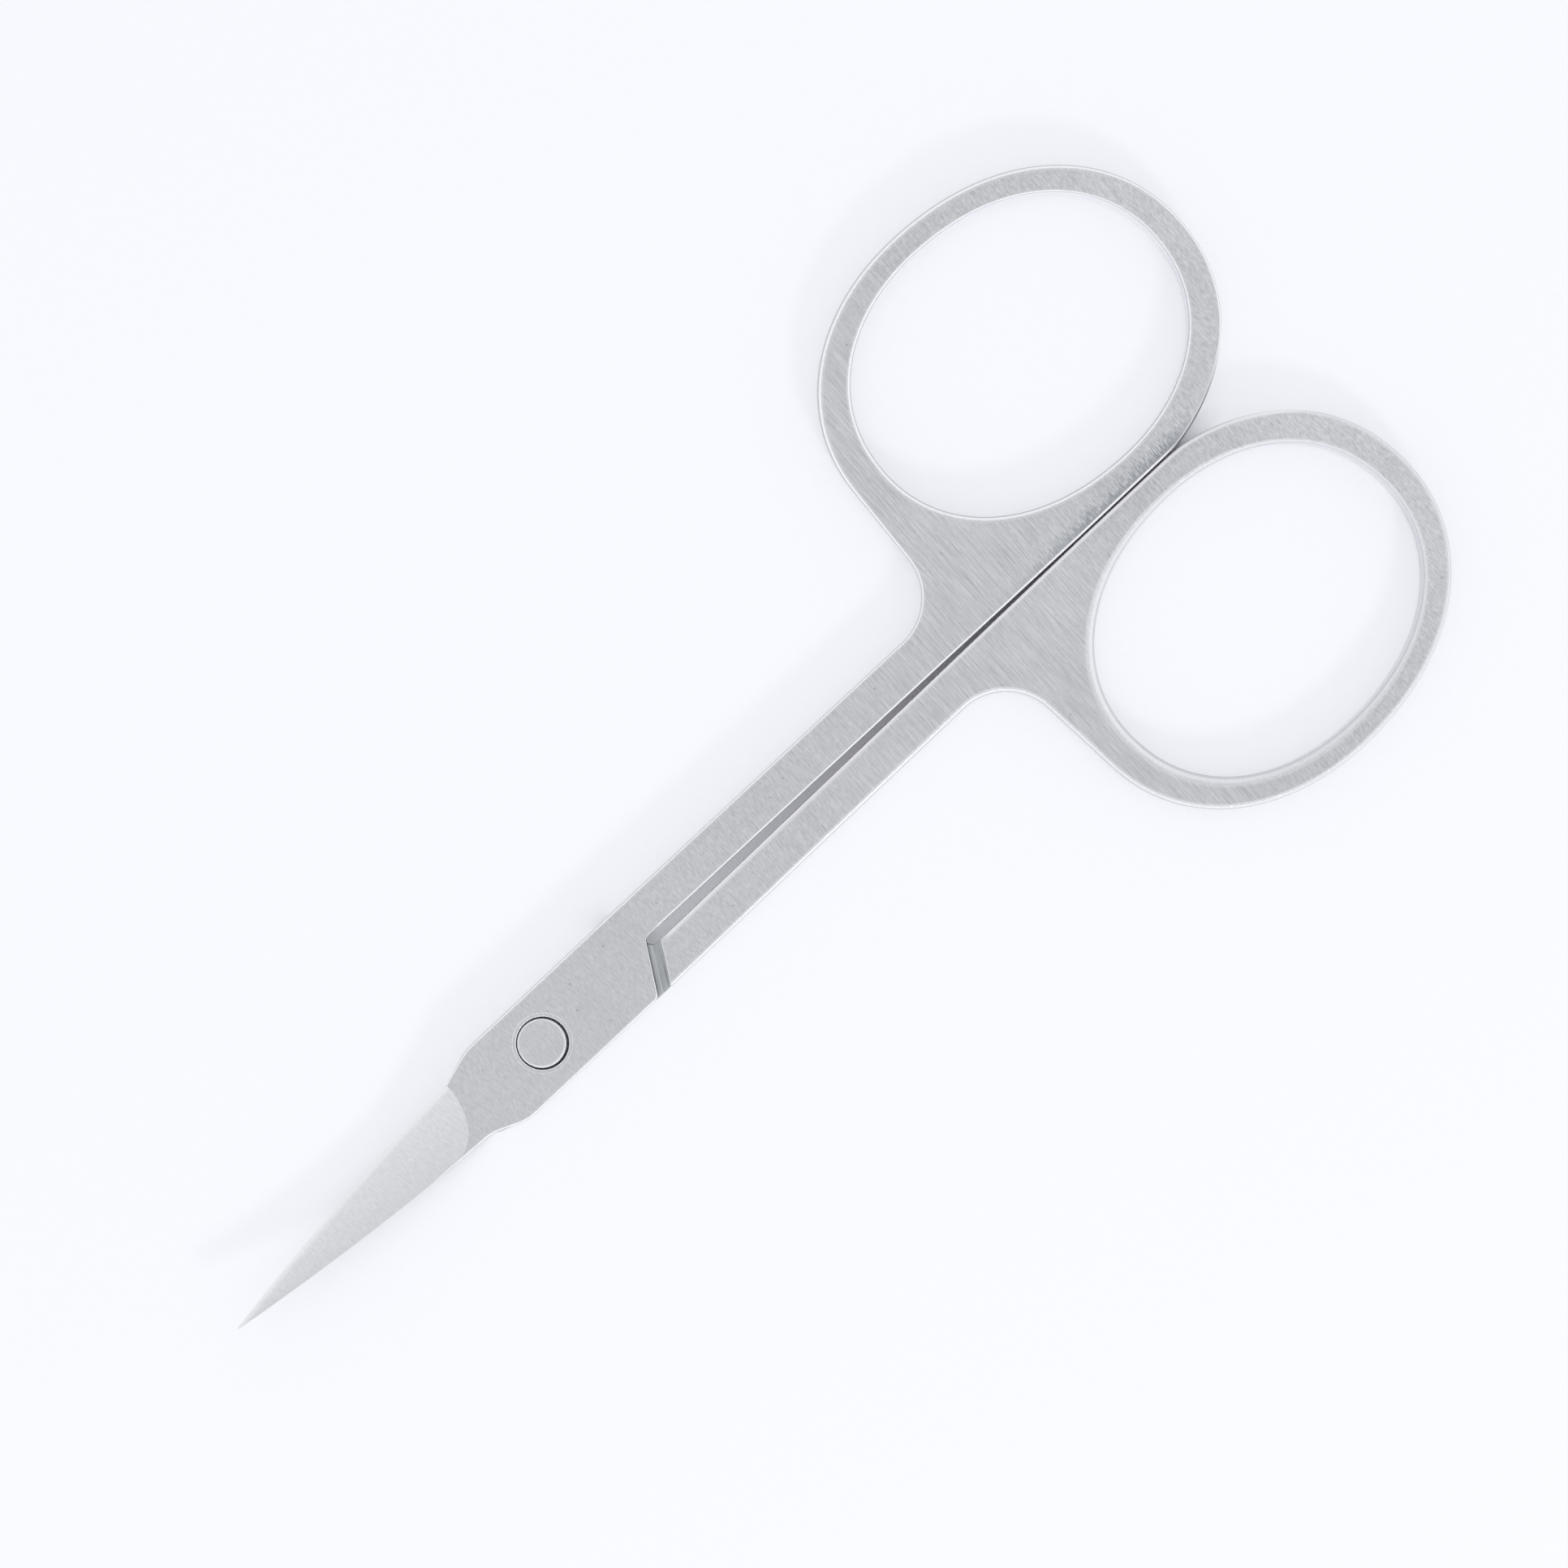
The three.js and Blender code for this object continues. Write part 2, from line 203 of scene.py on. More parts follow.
flat = add_node(tree, "ShaderNodeSeparateXYZ", {0: place.outputs["Object"]})
off_axis = add_node(tree, "ShaderNodeMath", {0: flat.outputs["Y"]}, operation="ABSOLUTE")
# Painted shade: less white along the slot, and less still towards the rings.
in_slot = add_node(tree, "ShaderNodeMapRange", {
    "Value": flat.outputs["X"], "From Min": 0.0, "From Max": SLOT_DARK * MM,
    "To Min": SLOT_SHARE, "To Max": 0.0,
})
beside_slot = add_node(tree, "ShaderNodeMapRange", {
    "Value": off_axis.outputs[0], "From Min": SLOT_SIDE * MM, "From Max": SLOT_BESIDE * MM,
    "To Min": in_slot.outputs[0], "To Max": WHITE_SHARE,
})
past_mouth = add_node(tree, "ShaderNodeMapRange", {
    "Value": flat.outputs["X"], "From Min": MOUTH_FROM * MM, "From Max": MOUTH_END * MM,
    "To Min": beside_slot.outputs[0], "To Max": WHITE_SHARE,
})
ray = add_node(tree, "ShaderNodeLightPath")
white_share = add_node(tree, "ShaderNodeMath", {
    0: ray.outputs["Is Camera Ray"], 1: past_mouth.outputs[0],
}, operation="MULTIPLY")
white = add_node(tree, "ShaderNodeEmission", {"Color": linear(BACKGROUND), "Strength": 1.0})
seen = add_node(tree, "ShaderNodeMixShader", {
    0: white_share.outputs[0], 1: shader.outputs[0], 2: white.outputs[0],
})
tree.links.new(seen.outputs[0], tree.nodes["Material Output"].inputs["Surface"])
print("Share of white:", WHITE_SHARE, "on the table,", SLOT_SHARE, "and less in the slot")

# %% [markdown]
# Every finish of this steel is a field of fine lines that some abrasive left: a belt, a wheel, a cutter or
# a stone. A noise that is stretched along one direction draws such lines. The Mapping node is set to
# Texture, so that its scale is the real size of one line, its spacing and its length, and its rotation is
# their lie. The same noise moves the colour, the roughness and a very low bump, as a real scratch does.

# %% A steel with lines
NOISE_LOW, NOISE_HIGH = 0.3, 0.7
LINE_NOISE = {"Scale": 1.0, "Detail": 3.0, "Roughness": 0.6}
LINE_DEPTH = 0.02


def lined_steel(name, turn, spacing, length, dark, light, roughness, relief):
    """A steel whose lines are turned some degrees from the Y axis, with their spacing and length in mm."""
    steel = bpy.data.materials.new(name)
    steel.use_nodes = True
    tree = steel.node_tree
    shader = tree.nodes["Principled BSDF"]
    place = add_node(tree, "ShaderNodeTexCoord")
    lie = add_node(tree, "ShaderNodeMapping", {
        "Vector": place.outputs["Object"], "Rotation": (0, 0, math.radians(turn)),
        "Scale": (spacing * MM, length * MM, length * MM),
    }, vector_type="TEXTURE")
    lines = add_node(tree, "ShaderNodeTexNoise", {"Vector": lie.outputs[0], **LINE_NOISE}, name="lines")
    tone = add_node(tree, "ShaderNodeValToRGB", {"Fac": lines.outputs[0]}, name="tone")
    for element, position, colour in zip(tone.color_ramp.elements, (NOISE_LOW, NOISE_HIGH), (dark, light)):
        element.position = position
        element.color = linear(colour)
    gloss = add_node(tree, "ShaderNodeMapRange", {
        "Value": lines.outputs[0], "From Min": NOISE_LOW, "From Max": NOISE_HIGH,
        "To Min": roughness[1], "To Max": roughness[0],
    }, name="gloss")
    bump = add_node(tree, "ShaderNodeBump", {
        "Height": lines.outputs[0], "Strength": relief, "Distance": LINE_DEPTH * MM,
    }, name="bump")
    shader.inputs["Metallic"].default_value = 1.0
    tree.links.new(tone.outputs[0], shader.inputs["Base Color"])
    tree.links.new(gloss.outputs[0], shader.inputs["Roughness"])
    tree.links.new(bump.outputs[0], shader.inputs["Normal"])
    return steel


print("Bump of the lines, mm:", LINE_DEPTH)

# %% [markdown]
# Four kinds of finish are little more than such lines. The blades are ground, the half-laps are milled, the
# rivet's seat is painted dark as painted shade in its gap, and the end of the lap keeps the wall that the
# shears left, painted dark as painted shade at the lap's end. One function serves for all of them, because
# only their numbers differ.

# %% Ground, milled, oiled and sheared steel
MILL_LEAN = 31
MILL_MARKS = {
    "spacing": 0.16, "length": 4.0, "dark": "#A6AAAD", "light": "#CFD3D6",
    "roughness": (0.35, 0.50), "relief": 0.20,
}

# A fine wheel grinds the blades across their length, smoother than the arms. Their colour is paler, partly
# for the finer finish and partly as painted light for the brighter tent that their tilted face mirrors.
ground = lined_steel(
    "ground_stainless", turn=8, spacing=0.08, length=0.4, dark="#CFD0D4", light="#DEDFE3",
    roughness=(0.28, 0.40), relief=0.06,
)
# An end mill cuts the half-laps along their shoulders, and nothing polishes them: they stay grey and dull.
# The halves mirror each other, so their shoulders lean to opposite sides and each has its own finish.
milled = lined_steel("milled_stainless", turn=MILL_LEAN, **MILL_MARKS)
milled_below = lined_steel("milled_stainless_below", turn=-MILL_LEAN, **MILL_MARKS)
# The seat of the rivet, down in the gap round its head, is painted dark: painted shade in that narrow gap.
seat_painted_shade = lined_steel(
    "seat_painted_shade_steel", turn=0, spacing=0.2, length=0.3, dark="#46474C", light="#626368",
    roughness=(0.40, 0.55), relief=0.10,
)
# The blank is sheared from sheet, and the end of the lap keeps that torn wall, painted dark as painted
# shade at the end of the lap's gap.
sheared = lined_steel(
    "sheared_steel_painted_shade", turn=0, spacing=0.1, length=0.2, dark="#54575B", light="#74777B",
    roughness=(0.45, 0.60), relief=0.20,
)
print("Finishes:", [m.name for m in (ground, milled, milled_below, seat_painted_shade, sheared)])

# %% [markdown]
# The wheel rolls over the cutting edge a little, and that rounded edge catches the light, painted here as a
# soft highlight along the blade. The back is painted a shade darker, as painted shade. The mesh carries
# each point's distance from the cutting edge, and its share of the blade's width, as attributes, because
# edge and back are curves.

# %% Painted highlight and shade on the blades
HIGHLIGHT_FADE = 0.45
HIGHLIGHT_SHARE = 0.7
EDGE_PAINTED_LIGHT, BACK_PAINTED_SHADE = 1.05, 0.93

tree = ground.node_tree
from_edge = add_node(tree, "ShaderNodeAttribute", attribute_name="from_edge")
border = add_node(tree, "ShaderNodeMapRange", {
    "Value": from_edge.outputs["Fac"], "From Min": 0.0, "From Max": HIGHLIGHT_FADE,
    "To Min": HIGHLIGHT_SHARE, "To Max": 0.0,
}, interpolation_type="SMOOTHSTEP")
across = add_node(tree, "ShaderNodeAttribute", attribute_name="across_blade")
# Painted shade: darker from the cutting edge towards the back.
back = add_node(tree, "ShaderNodeMapRange", {
    "Value": across.outputs["Fac"], "From Min": 0.0, "From Max": 1.0,
    "To Min": EDGE_PAINTED_LIGHT, "To Max": BACK_PAINTED_SHADE,
})
toned = add_node(tree, "ShaderNodeVectorMath", {
    0: tree.nodes["tone"].outputs[0], "Scale": back.outputs[0],
}, operation="SCALE")
# The painted highlight along the cutting edge, over the painted shade across the blade.
lit = add_node(tree, "ShaderNodeMix", {
    0: border.outputs[0], 6: toned.outputs[0], 7: linear("#F0F0F4"),
}, data_type="RGBA")
tree.links.new(lit.outputs[2], tree.nodes["Principled BSDF"].inputs["Base Color"])
print("Border of the blades, mm:", HIGHLIGHT_FADE)

# %% [markdown]
# The arms, rings and rivet head are brushed on a belt, across the arms and not quite square to them.
# Handling has broken the lines up on lap and rings, so they are short there and long only at the neck. A
# second noise gives the long lines, and a share that changes along X mixes the two. On the lap the lines
# are also calmer than further on.

# %% Brushed faces
LONG_TURN = -2
LONG_SPACING, LONG_LENGTH = 0.09, 2.6
LONG_FROM, LONG_FULL = 12.0, 32.0
LONG_LAST, LONG_END = 42.0, 50.0
LONG_ON_LAP, LONG_AT_NECK, LONG_ON_RINGS = 0.1, 0.75, 0.3
CALM_UNTIL, LIVELY_FROM = 6.0, 22.0
CALM, LIVELY = 0.65, 1.25

brushed = lined_steel(
    "brushed_stainless", turn=-5, spacing=0.08, length=0.40, dark="#B0B2B6", light="#CFD1D5",
    roughness=(0.28, 0.42), relief=0.12,
)
tree = brushed.node_tree
lines = tree.nodes["lines"]
place = add_node(tree, "ShaderNodeTexCoord")
flat = add_node(tree, "ShaderNodeSeparateXYZ", {0: place.outputs["Object"]})
long_lie = add_node(tree, "ShaderNodeMapping", {
    "Vector": place.outputs["Object"], "Rotation": (0, 0, math.radians(LONG_TURN)),
    "Scale": (LONG_SPACING * MM, LONG_LENGTH * MM, LONG_LENGTH * MM),
}, vector_type="TEXTURE")
long_lines = add_node(tree, "ShaderNodeTexNoise", {"Vector": long_lie.outputs[0], **LINE_NOISE})
to_neck = add_node(tree, "ShaderNodeMapRange", {
    "Value": flat.outputs["X"], "From Min": LONG_FROM * MM, "From Max": LONG_FULL * MM,
    "To Min": LONG_ON_LAP, "To Max": LONG_AT_NECK,
})
long_share = add_node(tree, "ShaderNodeMapRange", {
    "Value": flat.outputs["X"], "From Min": LONG_LAST * MM, "From Max": LONG_END * MM,
    "To Min": to_neck.outputs[0], "To Max": LONG_ON_RINGS,
})
mixed_lines = add_node(tree, "ShaderNodeMix", {
    0: long_share.outputs[0], 2: lines.outputs[0], 3: long_lines.outputs[0],
})
contrast = add_node(tree, "ShaderNodeMapRange", {
    "Value": flat.outputs["X"], "From Min": CALM_UNTIL * MM, "From Max": LIVELY_FROM * MM,
    "To Min": CALM, "To Max": LIVELY,
})
all_lines = add_node(tree, "ShaderNodeMix", {
    0: contrast.outputs[0], 2: 0.5, 3: mixed_lines.outputs[0],
}, clamp_factor=False)
for name, socket in (("tone", "Fac"), ("gloss", "Value"), ("bump", "Height")):
    tree.links.new(all_lines.outputs[0], tree.nodes[name].inputs[socket])
print("Long lines of", LONG_LENGTH, "mm from x", LONG_FROM, "to", LONG_END, "mm")

# %% [markdown]
# No belt reaches every spot alike. A slow cloud varies the grey from place to place, a fine grain lies over
# the lines, stronger on the rings, and the colour grows a little paler towards the ends of the rings. Each
# of these is a share by which the colour of the lines is kept.

# %% Clouds, grain and paler ring ends
CLOUD_SIZE = 9.0
CLOUD_SEED = 5.0
CLOUD_ROUGHNESS = 0.62
CLOUD_SHARE = 0.045
GRAIN_SIZE = 0.22
GRAIN_ON_ARMS, GRAIN_ON_RINGS, GRAIN_PALEST = 0.98, 0.93, 1.02
PALER_FROM, PALER_FULL = 51.0, 63.0
ENDS_PALER = 1.1

cloud = add_node(tree, "ShaderNodeTexNoise", {
    "Vector": place.outputs["Object"], "W": CLOUD_SEED, "Scale": 1 / (CLOUD_SIZE * MM), "Detail": 4.0,
    "Roughness": CLOUD_ROUGHNESS,
}, noise_dimensions="4D")
clouded = add_node(tree, "ShaderNodeMapRange", {
    "Value": cloud.outputs[0], "From Min": NOISE_LOW, "From Max": NOISE_HIGH,
    "To Min": 1 - CLOUD_SHARE, "To Max": 1 + CLOUD_SHARE,
})
grain = add_node(tree, "ShaderNodeTexNoise", {
    "Vector": place.outputs["Object"], "Scale": 1 / (GRAIN_SIZE * MM), "Detail": 2.0,
})
grain_darkest = add_node(tree, "ShaderNodeMapRange", {
    "Value": flat.outputs["X"], "From Min": LONG_LAST * MM, "From Max": LONG_END * MM,
    "To Min": GRAIN_ON_ARMS, "To Max": GRAIN_ON_RINGS,
})
grained = add_node(tree, "ShaderNodeMapRange", {
    "Value": grain.outputs[0], "From Min": NOISE_LOW, "From Max": NOISE_HIGH,
    "To Min": grain_darkest.outputs[0], "To Max": GRAIN_PALEST,
})
# A little paler towards the ends of the rings.
paler_ends = add_node(tree, "ShaderNodeMapRange", {
    "Value": flat.outputs["X"], "From Min": PALER_FROM * MM, "From Max": PALER_FULL * MM,
    "To Min": 1.0, "To Max": ENDS_PALER,
})
print("Clouds of", CLOUD_SIZE, "mm, grain of", GRAIN_SIZE, "mm")

# %% [markdown]
# Small pits are left from the rolling of the sheet. A Voronoi texture has one point in each of its cells
# and gives the distance to it, which is a pit's round shape. The cell's random colour says how deep its pit
# is, so that most cells have none.

# %% Pits
PIT_SPACING = 1.9
PIT_CORE, PIT_EDGE = 0.02, 0.05
PIT_SHALLOW, PIT_DEEP = 0.55, 0.8
PIT_DARKEST = 0.72

pit_place = add_node(tree, "ShaderNodeMapping", {
    "Vector": place.outputs["Object"], "Scale": (PIT_SPACING * MM, PIT_SPACING * MM, PIT_SPACING * MM),
}, vector_type="TEXTURE")
pits = add_node(tree, "ShaderNodeTexVoronoi", {
    "Vector": pit_place.outputs[0], "Scale": 1.0,
}, voronoi_dimensions="2D")
pit_depth = add_node(tree, "ShaderNodeMapRange", {
    "Value": pits.outputs["Color"], "From Min": PIT_SHALLOW, "From Max": PIT_DEEP,
    "To Min": 1.0, "To Max": PIT_DARKEST,
})
pitted = add_node(tree, "ShaderNodeMapRange", {
    "Value": pits.outputs["Distance"], "From Min": PIT_CORE, "From Max": PIT_EDGE,
    "To Min": pit_depth.outputs[0], "To Max": 1.0,
})
kept = clouded
for share in (pitted, paler_ends, grained):
    kept = add_node(tree, "ShaderNodeMath", {
        0: kept.outputs[0], 1: share.outputs[0],
    }, operation="MULTIPLY")
print("At most one pit every", PIT_SPACING, "mm")

# %% [markdown]
# Much of the wear lies along the slot between the halves, and along the ring's edge that goes on from it.
# The slot is straight, and a ring's edge beyond it is an oval that is near enough to a parabola. So a
# point's distance from the long axis, less the parabola's rise, serves for both.

# %% Distance from the slot
RINGS_PART = 53.2
PARTING_RADIUS = 10.0

from_axis = add_node(tree, "ShaderNodeMath", {0: flat.outputs["Y"]}, operation="ABSOLUTE")
along_ring = add_node(tree, "ShaderNodeMath", {
    0: flat.outputs["X"], 1: RINGS_PART * MM,
}, operation="SUBTRACT")
past_slot = add_node(tree, "ShaderNodeMath", {0: along_ring.outputs[0], 1: 0.0}, operation="MAXIMUM")
square = add_node(tree, "ShaderNodeMath", {0: past_slot.outputs[0], 1: 2.0}, operation="POWER")
from_slot = add_node(tree, "ShaderNodeMath", {
    0: square.outputs[0], 1: -0.5 / (PARTING_RADIUS * MM), 2: from_axis.outputs[0],
}, operation="MULTIPLY_ADD")
print("The rings part at x", RINGS_PART, "mm with a radius of", PARTING_RADIUS, "mm")

# %% [markdown]
# Beside the slot, where the rings meet, the belt ran out in dark streaks that start at the edge, nearly all
# of them on the upper half. Each line of the belt has a streak of its own length, and the cloud makes them
# patchy.

# %% Streaks
STREAK_FROM, STREAK_FULL, STREAK_LAST, STREAK_END = 36.0, 51.0, 53.5, 57.0
STREAK_LONGEST, STREAK_SHORTEST = 1.7, 0.5
STREAK_LINES = (0.35, 0.65)
STREAK_CORE = 0.2
STREAK_BELOW, STREAK_ABOVE = 0.1, 0.7
STREAK_CLOUDS = (0.38, 0.58)
STREAK_FAINTEST = 0.5
SIDE_STEP = 0.01

streak_length = add_node(tree, "ShaderNodeMapRange", {
    "Value": lines.outputs[0], "From Min": STREAK_LINES[0], "From Max": STREAK_LINES[1],
    "To Min": STREAK_LONGEST * MM, "To Max": STREAK_SHORTEST * MM,
})
along_streak = add_node(tree, "ShaderNodeMath", {
    0: from_slot.outputs[0], 1: streak_length.outputs[0],
}, operation="DIVIDE")
streak = add_node(tree, "ShaderNodeMapRange", {
    "Value": along_streak.outputs[0], "From Min": STREAK_CORE, "From Max": 1.0,
    "To Min": 1.0, "To Max": 0.0,
}, interpolation_type="SMOOTHSTEP")
begins = add_node(tree, "ShaderNodeMapRange", {
    "Value": flat.outputs["X"], "From Min": STREAK_FROM * MM, "From Max": STREAK_FULL * MM,
    "To Min": 0.0, "To Max": 1.0,
}, interpolation_type="SMOOTHSTEP")
ends = add_node(tree, "ShaderNodeMapRange", {
    "Value": flat.outputs["X"], "From Min": STREAK_LAST * MM, "From Max": STREAK_END * MM,
    "To Min": 1.0, "To Max": 0.0,
}, interpolation_type="SMOOTHSTEP")
upper_side = add_node(tree, "ShaderNodeMapRange", {
    "Value": flat.outputs["Y"], "From Min": -SIDE_STEP * MM, "From Max": SIDE_STEP * MM,
    "To Min": STREAK_BELOW, "To Max": STREAK_ABOVE,
})
patchy = add_node(tree, "ShaderNodeMapRange", {
    "Value": cloud.outputs[0], "From Min": STREAK_CLOUDS[0], "From Max": STREAK_CLOUDS[1],
    "To Min": STREAK_FAINTEST, "To Max": 1.0,
})
streaked = streak
for share in (begins, ends, upper_side, patchy):
    streaked = add_node(tree, "ShaderNodeMath", {
        0: streaked.outputs[0], 1: share.outputs[0],
    }, operation="MULTIPLY")
print("Streaks from x", STREAK_FROM, "to", STREAK_END, "mm, up to", STREAK_LONGEST, "mm long")

# %% [markdown]
# The two edges of the slot are burnished smoother, and each carries a bright band of painted highlight, the
# lower one wider. The slot gets narrower towards the rings, so the band is measured from the slot's side
# and not from its middle. The lines of the belt make the band ragged.

# %% Burnished slot edges with painted highlight
SLOT_FROM, SLOT_NARROW = 10.0, 46.0
SLOT_FROM_HALF, SLOT_NARROW_HALF = 0.37, 0.05
BAND_ABOVE, BAND_BELOW, BAND_RAGGED = 0.2, 0.36, 0.1
BAND_CORE = 0.05
BAND_LEAD = 0.5

slot_side = add_node(tree, "ShaderNodeMapRange", {
    "Value": flat.outputs["X"], "From Min": SLOT_FROM * MM, "From Max": SLOT_NARROW * MM,
    "To Min": SLOT_FROM_HALF * MM, "To Max": SLOT_NARROW_HALF * MM,
})
from_side = add_node(tree, "ShaderNodeMath", {
    0: from_slot.outputs[0], 1: slot_side.outputs[0],
}, operation="SUBTRACT")
ragged_side = add_node(tree, "ShaderNodeMath", {
    0: lines.outputs[0], 1: BAND_RAGGED * MM, 2: from_side.outputs[0],
}, operation="MULTIPLY_ADD")
slot_band_width = add_node(tree, "ShaderNodeMapRange", {
    "Value": flat.outputs["Y"], "From Min": -SIDE_STEP * MM, "From Max": SIDE_STEP * MM,
    "To Min": BAND_BELOW * MM, "To Max": BAND_ABOVE * MM,
})
# Painted highlight along the slot edges, which are also burnished smoother.
slot_band = add_node(tree, "ShaderNodeMapRange", {
    "Value": ragged_side.outputs[0], "From Min": BAND_CORE * MM, "From Max": slot_band_width.outputs[0],
    "To Min": 1.0, "To Max": 0.0,
})
slot_band_begins = add_node(tree, "ShaderNodeMapRange", {
    "Value": flat.outputs["X"], "From Min": SLOT_FROM * MM, "From Max": (SLOT_FROM + BAND_LEAD) * MM,
    "To Min": 0.0, "To Max": 1.0,
})
burnish_and_highlight = add_node(tree, "ShaderNodeMath", {
    0: slot_band.outputs[0], 1: slot_band_begins.outputs[0],
}, operation="MULTIPLY")
print("Rubbed bands, mm:", BAND_ABOVE, "above the slot and", BAND_BELOW, "below it")

# %% [markdown]
# How far a surface tilts away from flat tells face, rim and wall apart. The surface's own normal gives it.
# What faces up or down is brushed, and a rim is not reached by the belt.

# %% Tilt of the rims
RIM_FROM, RIM_FULL = math.radians(6), math.radians(22)

facing = add_node(tree, "ShaderNodeSeparateXYZ", {0: place.outputs["Normal"]})
upright = add_node(tree, "ShaderNodeMath", {0: facing.outputs["Z"]}, operation="ABSOLUTE")
tilt = add_node(tree, "ShaderNodeMath", {0: upright.outputs[0]}, operation="ARCCOSINE")
rim = add_node(tree, "ShaderNodeMapRange", {
    "Value": tilt.outputs[0], "From Min": RIM_FROM, "From Max": RIM_FULL, "To Min": 0.0, "To Max": 1.0,
}, interpolation_type="SMOOTHSTEP")
print("Rims are tumbled from a tilt of", round(math.degrees(RIM_FROM)), "degrees on")

# %% [markdown]
# Where the rings part, the edge of the upper ring is painted with a thin dark line. It lies on the rim
# alone and fades out on the wall below, which shows when the scissors are open. Its strength is above 1
# because the share of the upper half is multiplied in.

# %% Dark line where the rings part
DARK_LINE_FROM, DARK_LINE_FULL, DARK_LINE_LAST, DARK_LINE_END = 53.0, 54.5, 56.5, 60.5
DARK_LINE_CORE, DARK_LINE_WIDTH = 0.03, 0.16
DARK_LINE_STRENGTH = 1.4
BARE_FROM, BARE_FULL = math.radians(70), math.radians(86)

# A thin dark line painted along the upper ring's edge where the rings part.
dark_edge_line = add_node(tree, "ShaderNodeMapRange", {
    "Value": from_slot.outputs[0], "From Min": DARK_LINE_CORE * MM, "From Max": DARK_LINE_WIDTH * MM,
    "To Min": DARK_LINE_STRENGTH, "To Max": 0.0,
})
dark_line_begins = add_node(tree, "ShaderNodeMapRange", {
    "Value": flat.outputs["X"], "From Min": DARK_LINE_FROM * MM, "From Max": DARK_LINE_FULL * MM,
    "To Min": 0.0, "To Max": 1.0,
})
dark_line_ends = add_node(tree, "ShaderNodeMapRange", {
    "Value": flat.outputs["X"], "From Min": DARK_LINE_LAST * MM, "From Max": DARK_LINE_END * MM,
    "To Min": 1.0, "To Max": 0.0,
})
bare_wall = add_node(tree, "ShaderNodeMapRange", {
    "Value": tilt.outputs[0], "From Min": BARE_FROM, "From Max": BARE_FULL, "To Min": 1.0, "To Max": 0.0,
})
for share in (dark_line_begins, dark_line_ends, upper_side, bare_wall):
    dark_edge_line = add_node(tree, "ShaderNodeMath", {
        0: dark_edge_line.outputs[0], 1: share.outputs[0],
    }, operation="MULTIPLY")
print("Burr from x", DARK_LINE_FROM, "to", DARK_LINE_END, "mm")

# %% [markdown]
# Before the brushing the blanks are tumbled among stones, and rims and walls keep that pale, dull surface.
# Its colour is set by the tilt: halfway round a rim a white line of painted highlight, and beyond it a thin
# grey line of painted shade, where the rim mirrors the shaded table. The dimples of single hits break these
# lines up a little. On the rolled rims of the lower ring, where y is negative, the painted lines are
# fainter.

# %% Tumbled rims with painted highlight and shade lines
TUMBLE_SIZE = 0.12
DIMPLE_TILT = 0.08
RIM_TONES_AND_PAINTED_LINES = (
    (25, "#DCDDE1"), (41, "#FAFAFB"), (53, "#F6F6F8"), (66, "#D2D3D7"), (82, "#D9DADE"), (89, "#F1F1F4"),
)
FAINT_FROM, FAINT_FULL = 26.0, 46.0
FAINT_SHARE = 0.62

dimples = add_node(tree, "ShaderNodeTexNoise", {
    "Vector": place.outputs["Object"], "Scale": 1 / (TUMBLE_SIZE * MM), "Detail": 2.0,
})
right_angles = add_node(tree, "ShaderNodeMath", {0: tilt.outputs[0], 1: math.pi / 2}, operation="DIVIDE")
dimpled = add_node(tree, "ShaderNodeMath", {
    0: dimples.outputs[0], 1: DIMPLE_TILT, 2: right_angles.outputs[0],
}, operation="MULTIPLY_ADD")
# Painted highlight and shade lines on the rims, set by the tilt.
tumbled = add_node(tree, "ShaderNodeValToRGB", {"Fac": dimpled.outputs[0]})
shades = tumbled.color_ramp.elements
for degrees, shade in RIM_TONES_AND_PAINTED_LINES:
    shades.new(degrees / 90).color = linear(shade)
shades.remove(shades[0])
shades.remove(shades[len(shades) - 1])
faint_lines = add_node(tree, "ShaderNodeMapRange", {
    "Value": flat.outputs["X"], "From Min": FAINT_FROM * MM, "From Max": FAINT_FULL * MM,
    "To Min": 0.0, "To Max": FAINT_SHARE,
})
faint_share = add_node(tree, "ShaderNodeMapRange", {
    "Value": flat.outputs["Y"], "From Min": -SIDE_STEP * MM, "From Max": SIDE_STEP * MM,
    "To Min": faint_lines.outputs[0], "To Max": 0.0,
})
rim_colour = add_node(tree, "ShaderNodeMix", {
    0: faint_share.outputs[0], 6: tumbled.outputs[0], 7: linear("#E5E6E9"),
}, data_type="RGBA")
print("Shades of the rims:", [shade for _, shade in RIM_TONES_AND_PAINTED_LINES])

# %% [markdown]
# Last the two surfaces are put together. Lines, clouds and streaks make the brushed colour, the tilt mixes
# it with the tumbled one and its painted lines, and the painted highlight along the slot and the dark line
# where the rings part lie on top. Tumbled steel is rough, apart from the dimples that glint, and the
# burnished slot edges are smoother again.

# %% Brushed and tumbled together
GLINT_FROM, GLINT_FULL = 0.5, 0.7
DULL, GLINTING, BURNISHED = 0.92, 0.7, 0.5

line_colour = add_node(tree, "ShaderNodeVectorMath", {
    0: tree.nodes["tone"].outputs[0], "Scale": kept.outputs[0],
}, operation="SCALE")
colour = line_colour.outputs[0]
for share, shade in (
    (streaked, linear("#6E747D")),
    # Tumbled rims, with their painted highlight and shade lines.
    (rim, rim_colour.outputs[2]),
    # Painted highlight along the slot edges.
    (burnish_and_highlight, linear("#EEEEF1")),
    # Dark line painted where the rings part.
    (dark_edge_line, linear("#565B64")),
):
    mixed = add_node(tree, "ShaderNodeMix", {0: share.outputs[0], 6: colour, 7: shade}, data_type="RGBA")
    colour = mixed.outputs[2]
glint = add_node(tree, "ShaderNodeMapRange", {
    "Value": dimples.outputs[0], "From Min": GLINT_FROM, "From Max": GLINT_FULL,
    "To Min": DULL, "To Max": GLINTING,
})
